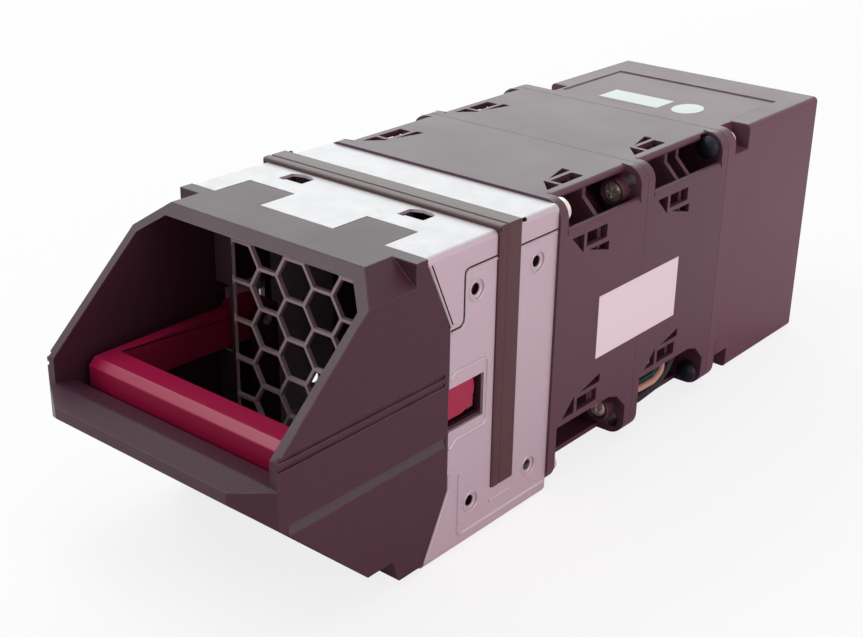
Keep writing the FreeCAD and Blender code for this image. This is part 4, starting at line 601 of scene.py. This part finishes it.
housing_black = moulding("housing black", (0.104, 0.04, 0.06), (0.2, 0.14, 0.16), roughness=0.44,
                         grain_size=0.45, depth=0.012, glint_share=0.25, wear=0.4, specular=0.38)
housing = rounded(copied("rear_housing"), "rear_duct_moulding", 0.3 * MM)
dress(housing_black, housing)
stands_for(housing, "chassis", "housing_plastic", "rear_housing")
paper = moulding("label film", (0.78, 0.77, 0.77), (0.9, 0.88, 0.88), roughness=0.38, grain_size=0.8,
                 depth=0.003, glint_share=0.0, wear=0.1, cloud=0.05)
plates = bmesh.new()
plate_left, plate_right, plate_front, plate_back = -16.6, 4.9, 150.3, 160.8
plate_outline = [(plate_left, plate_front), (plate_right, plate_front),
                 (plate_right, plate_back), (plate_left, plate_back)]
plate_under, plate_over = 37.1, 37.3
oval_outline = oval((12.5, 156.2), (4.6, 6.2), 30)
for outline in (plate_outline, oval_outline):
    drawn_out(plates, outline, "z", plate_under, plate_over)
blanks = rounded(plates, "bare_top_plates", 0.04 * MM, 1)
plate_white = moulding("plate white", (0.66, 0.65, 0.65), (0.7, 0.69, 0.69), roughness=0.4, grain_size=0.8,
                       depth=0.003, glint_share=0.0, wear=0.1, cloud=0.05)
dress(plate_white, blanks)
added(blanks)
plug_black = moulding("connector black", (0.03, 0.03, 0.03), (0.08, 0.08, 0.08), roughness=0.4,
                      grain_size=0.5, depth=0.01, glint_share=0.0, wear=0.3)
gold = plated("contact gold", (0.9, 0.68, 0.32), roughness=0.22, lines=0.1, spangle=0.0)
dress(plug_black, "connector_shell")
dress(gold, "connector_contacts")


# ---- screws, plugs, leads and label --------------------------------------------------------------
# Zinc-plated screws with domed, cross-recessed heads and domed rubber plugs fill the flange holes. Short
# coloured loops of the motor leads show in the rear fan's lower recess, and a blank white label is stuck
# over the seam of the two fans.

screw_zinc = plated("screw zinc", (0.86, 0.8, 0.7), roughness=0.24, lines=0.1, spangle=0.1, metal=0.6)
rubber = moulding("plug rubber", (0.012, 0.012, 0.02), (0.03, 0.03, 0.04), roughness=0.36, grain_size=0.3,
                  depth=0.01, glint_share=0.0, wear=0.1)
jacket = moulding("lead jacket", (0.52, 0.4, 0.26), (0.6, 0.5, 0.36), roughness=0.5, grain_size=0.8,
                  depth=0.02, glint_share=0.0, wear=0.1)
dress(screw_zinc, "sleeve_screws", "fan_joining_screws", "housing_screws", "handle_pins")


FLANGE_PITCH = 71.5


def corner_tree():
    """Geometry Nodes that set the same piece in the four corners of a flange."""
    tree, ends, out = shape_tree("one in each corner", {"Pitch": FLANGE_PITCH * MM, "Station": 0.0})
    square = wire(tree, "GeometryNodeMeshGrid", Size_X=ends.outputs["Pitch"], Size_Y=ends.outputs["Pitch"],
                  Vertices_X=2, Vertices_Y=2).outputs[0]
    place = wire(tree, "ShaderNodeCombineXYZ", Y=ends.outputs["Station"], Z=AXIS_HEIGHT * MM).outputs[0]
    upright = wire(tree, "GeometryNodeTransform", Geometry=square, Translation=place,
                   Rotation=(math.radians(90), 0, 0)).outputs[0]
    four = wire(tree, "GeometryNodeInstanceOnPoints", Points=upright, Instance=ends.outputs["Geometry"])
    return finished(tree, four.outputs[0], ends, out)


def dome(radius, depth, crown, facing, cross=0.0):
    """A round head on the fans' axis: a straight edge, a domed crown and, if wanted, a cross recess."""
    edge, slot_depth = depth - crown, 0.9
    outline = [(radius, 0.0), (radius, edge)]
    for turn in (25, 48, 68):
        outline.append((radius * math.cos(math.radians(turn)), edge + crown * math.sin(math.radians(turn))))
    shape = bmesh.new()
    rings = []
    for reach, rise in outline:
        rings.append([shape.verts.new(Vector((across, facing * rise, up)) * MM)
                      for across, up in oval((0, 0), (reach, reach), 24)])
    skinned(shape, rings)
    if cross:
        arm = 0.22 * cross
        for wide, tall in ((cross, arm), (arm, cross)):
            blade = bmesh.new()
            middle = Matrix.Translation(Vector((0, facing * depth, 0)) * MM)
            stretch = Matrix.Diagonal((wide, slot_depth, tall, 1))
            bmesh.ops.create_cube(blade, size=2 * MM, matrix=middle @ stretch)
            shape = worked(shape, blade, "DIFFERENCE")
    mesh = bpy.data.meshes.new("head")
    shape.to_mesh(mesh)
    shape.free()
    for face in mesh.polygons:
        face.use_smooth = True
    mesh.set_sharp_from_angle(angle=math.radians(32))
    return mesh


each_corner = corner_tree()
head_depth, head_crown, cross_share = 2.75, 0.9, 0.58
for name, radius, pitch, face, facing in (("sleeve_screw_heads", 3.35, FLANGE_PITCH, 53.15, 1),
                                          ("joint_screw_heads", 2.75, 64.8, 86.85, -1),
                                          ("housing_screw_heads", 2.75, FLANGE_PITCH, 137.55, 1)):
    heads = grown(dome(radius, head_depth, head_crown, facing, cross_share * radius), each_corner, name,
                  Pitch=pitch * MM, Station=(face - MIDDLE) * MM, Finish=screw_zinc)
    added(heads)
plug_face = 129.7
plugs = grown(dome(3.3, 3.2, 2.0, -1), each_corner, "domed_plugs", Pitch=FLANGE_PITCH * MM,
              Station=(plug_face - MIDDLE) * MM, Finish=rubber)
stands_for(plugs, "chassis", "plug_rubber", "rubber_plugs")
loops = (
    ("cream", (0.5, 0.36, 0.24), 1.1,
     [(33.5, 94.0, -32.4), (35.8, 101.4, -31.2), (36.4, 107.5, -30.8), (36.2, 112.2, -29.0),
      (34.5, 114.6, -26.6), (32.0, 118.5, -26.7)]),
    ("teal", (0.006, 0.05, 0.055), 0.6,
     [(33.2, 94.0, -30.3), (35.5, 101.4, -29.1), (36.0, 107.0, -28.7), (35.4, 111.5, -27.2),
      (33.6, 114.0, -25.8), (32.0, 117.0, -26.4)]),
    ("dark", (0.02, 0.02, 0.025), 1.5,
     [(32.0, 94.0, -36.4), (34.6, 101.8, -35.2), (35.4, 109.6, -33.6), (35.2, 116.0, -30.6),
      (34.0, 121.5, -27.5), (32.0, 126.5, -26.7)]))
loop_bend = 6.0
for shade, colour, radius, path in loops:
    finish = moulding(f"{shade} lead", colour, colour, roughness=0.42, grain_size=0.8, depth=0.01,
                      glint_share=0.0, wear=0.1)
    added(bars(f"{shade}_lead", [path], radius, loop_bend, finish))
dress(jacket, "motor_leads")
dress(paper, "side_label")


# ---- studio --------------------------------------------------------------------------------------
# A wide pale floor that glows a little to the camera alone, and five soft lamps: behind, overhead, left,
# in front and a warm one to the right. A white room shows in reflections.

floor_mesh = bpy.data.meshes.new("floor")
reach, sunk, glow_share = 6.0, -0.0002, 0.82
corners = [(-reach, -reach, 0), (reach, -reach, 0), (reach, reach, 0), (-reach, reach, 0)]
floor_mesh.from_pydata(corners, [], [(0, 1, 2, 3)])
floor = placed("floor", floor_mesh)
floor_white, tree, surface = blank_material("floor white")
surface.inputs["Base Color"].default_value = (0.96, 0.87, 0.9, 1)
surface.inputs["Roughness"].default_value = 0.9
surface.inputs["Specular IOR Level"].default_value = 0.0
glow = wire(tree, "ShaderNodeEmission", Strength=1.0)
to_camera = wire(tree, "ShaderNodeLightPath").outputs["Is Camera Ray"]
share = math_node(tree, "MULTIPLY", to_camera, glow_share)
lit = wire(tree, "ShaderNodeMixShader", _0=share, _1=surface.outputs[0], _2=glow.outputs[0])
tree.links.new(lit.outputs[0], tree.nodes["Material Output"].inputs["Surface"])
floor_mesh.materials.append(floor_white)
floor.location.z = sunk


def softbox(name, place, aim, width, power, colour):
    """A wide soft lamp. Places and widths are in metres, and power is in watts."""
    lamp = bpy.data.lights.new(name, "AREA")
    lamp.shape = "RECTANGLE"
    lamp.size = width
    lamp.size_y = width * 0.7
    lamp.energy = power
    lamp.color = colour
    holder = placed(name, lamp)
    holder.location = place
    holder.rotation_euler = (Vector(aim) - Vector(place)).to_track_quat("-Z", "Y").to_euler()


softbox("back softbox", (-0.7, 0.84, 0.7), (0, 0, 0.03), 1.2, 6.6, (0.82, 1.0, 0.96))
softbox("overhead softbox", (0.05, -0.1, 1.2), (0, 0, 0), 0.9, 4.2, (0.8, 1.0, 0.95))
softbox("left front softbox", (-0.7, -0.53, 0.9), (0, -0.05, 0.05), 0.5, 4.8, (0.84, 1.0, 0.97))
softbox("front softbox", (-0.35, -1.1, 0.5), (0, -0.05, 0.03), 0.7, 1.6, (1.0, 0.86, 0.9))
softbox("right softbox", (1.2, 0.1, 0.3), (0, 0.02, 0.03), 0.8, 6.6, (1.0, 0.54, 0.7))

world = bpy.data.worlds.new("pale room")
bpy.context.scene.world = world
world.use_nodes = True
tree = world.node_tree
backdrop = tree.nodes["Background"]
ray = wire(tree, "ShaderNodeLightPath")
seen = math_node(tree, "MAXIMUM", ray.outputs["Is Camera Ray"], ray.outputs["Is Transmission Ray"])
seen = math_node(tree, "MAXIMUM", seen, ray.outputs["Is Glossy Ray"])
strength = wire(tree, "ShaderNodeMix", {"data_type": "FLOAT"}, _0=seen, _2=0.3, _3=1.0)
tree.links.new(strength.outputs[0], backdrop.inputs["Strength"])
backdrop.inputs["Color"].default_value = (1, 1, 1, 1)

# The camera stands at the module's front right corner, a little above it.
azimuth, elevation, roll = math.radians(39.69), math.radians(23.73), math.radians(1.0)
level = math.cos(elevation)
back = Vector((math.sin(azimuth) * level, -math.cos(azimuth) * level, math.sin(elevation)))
right = Vector((math.cos(azimuth), math.sin(azimuth), 0))
up = back.cross(right)
side = right * math.cos(roll) + up * math.sin(roll)
rise = up * math.cos(roll) - right * math.sin(roll)
lens = bpy.data.cameras.new("camera")
lens.sensor_width = 36
lens.lens = 58.78
lens.clip_start = 0.01
camera = placed("camera", lens)
turn = Matrix((side, rise, back)).transposed().to_4x4()
camera.matrix_world = Matrix.Translation((0.22489, -0.29410, 0.19475)) @ turn
bpy.context.scene.camera = camera
bpy.context.scene.view_settings.view_transform = "Standard"
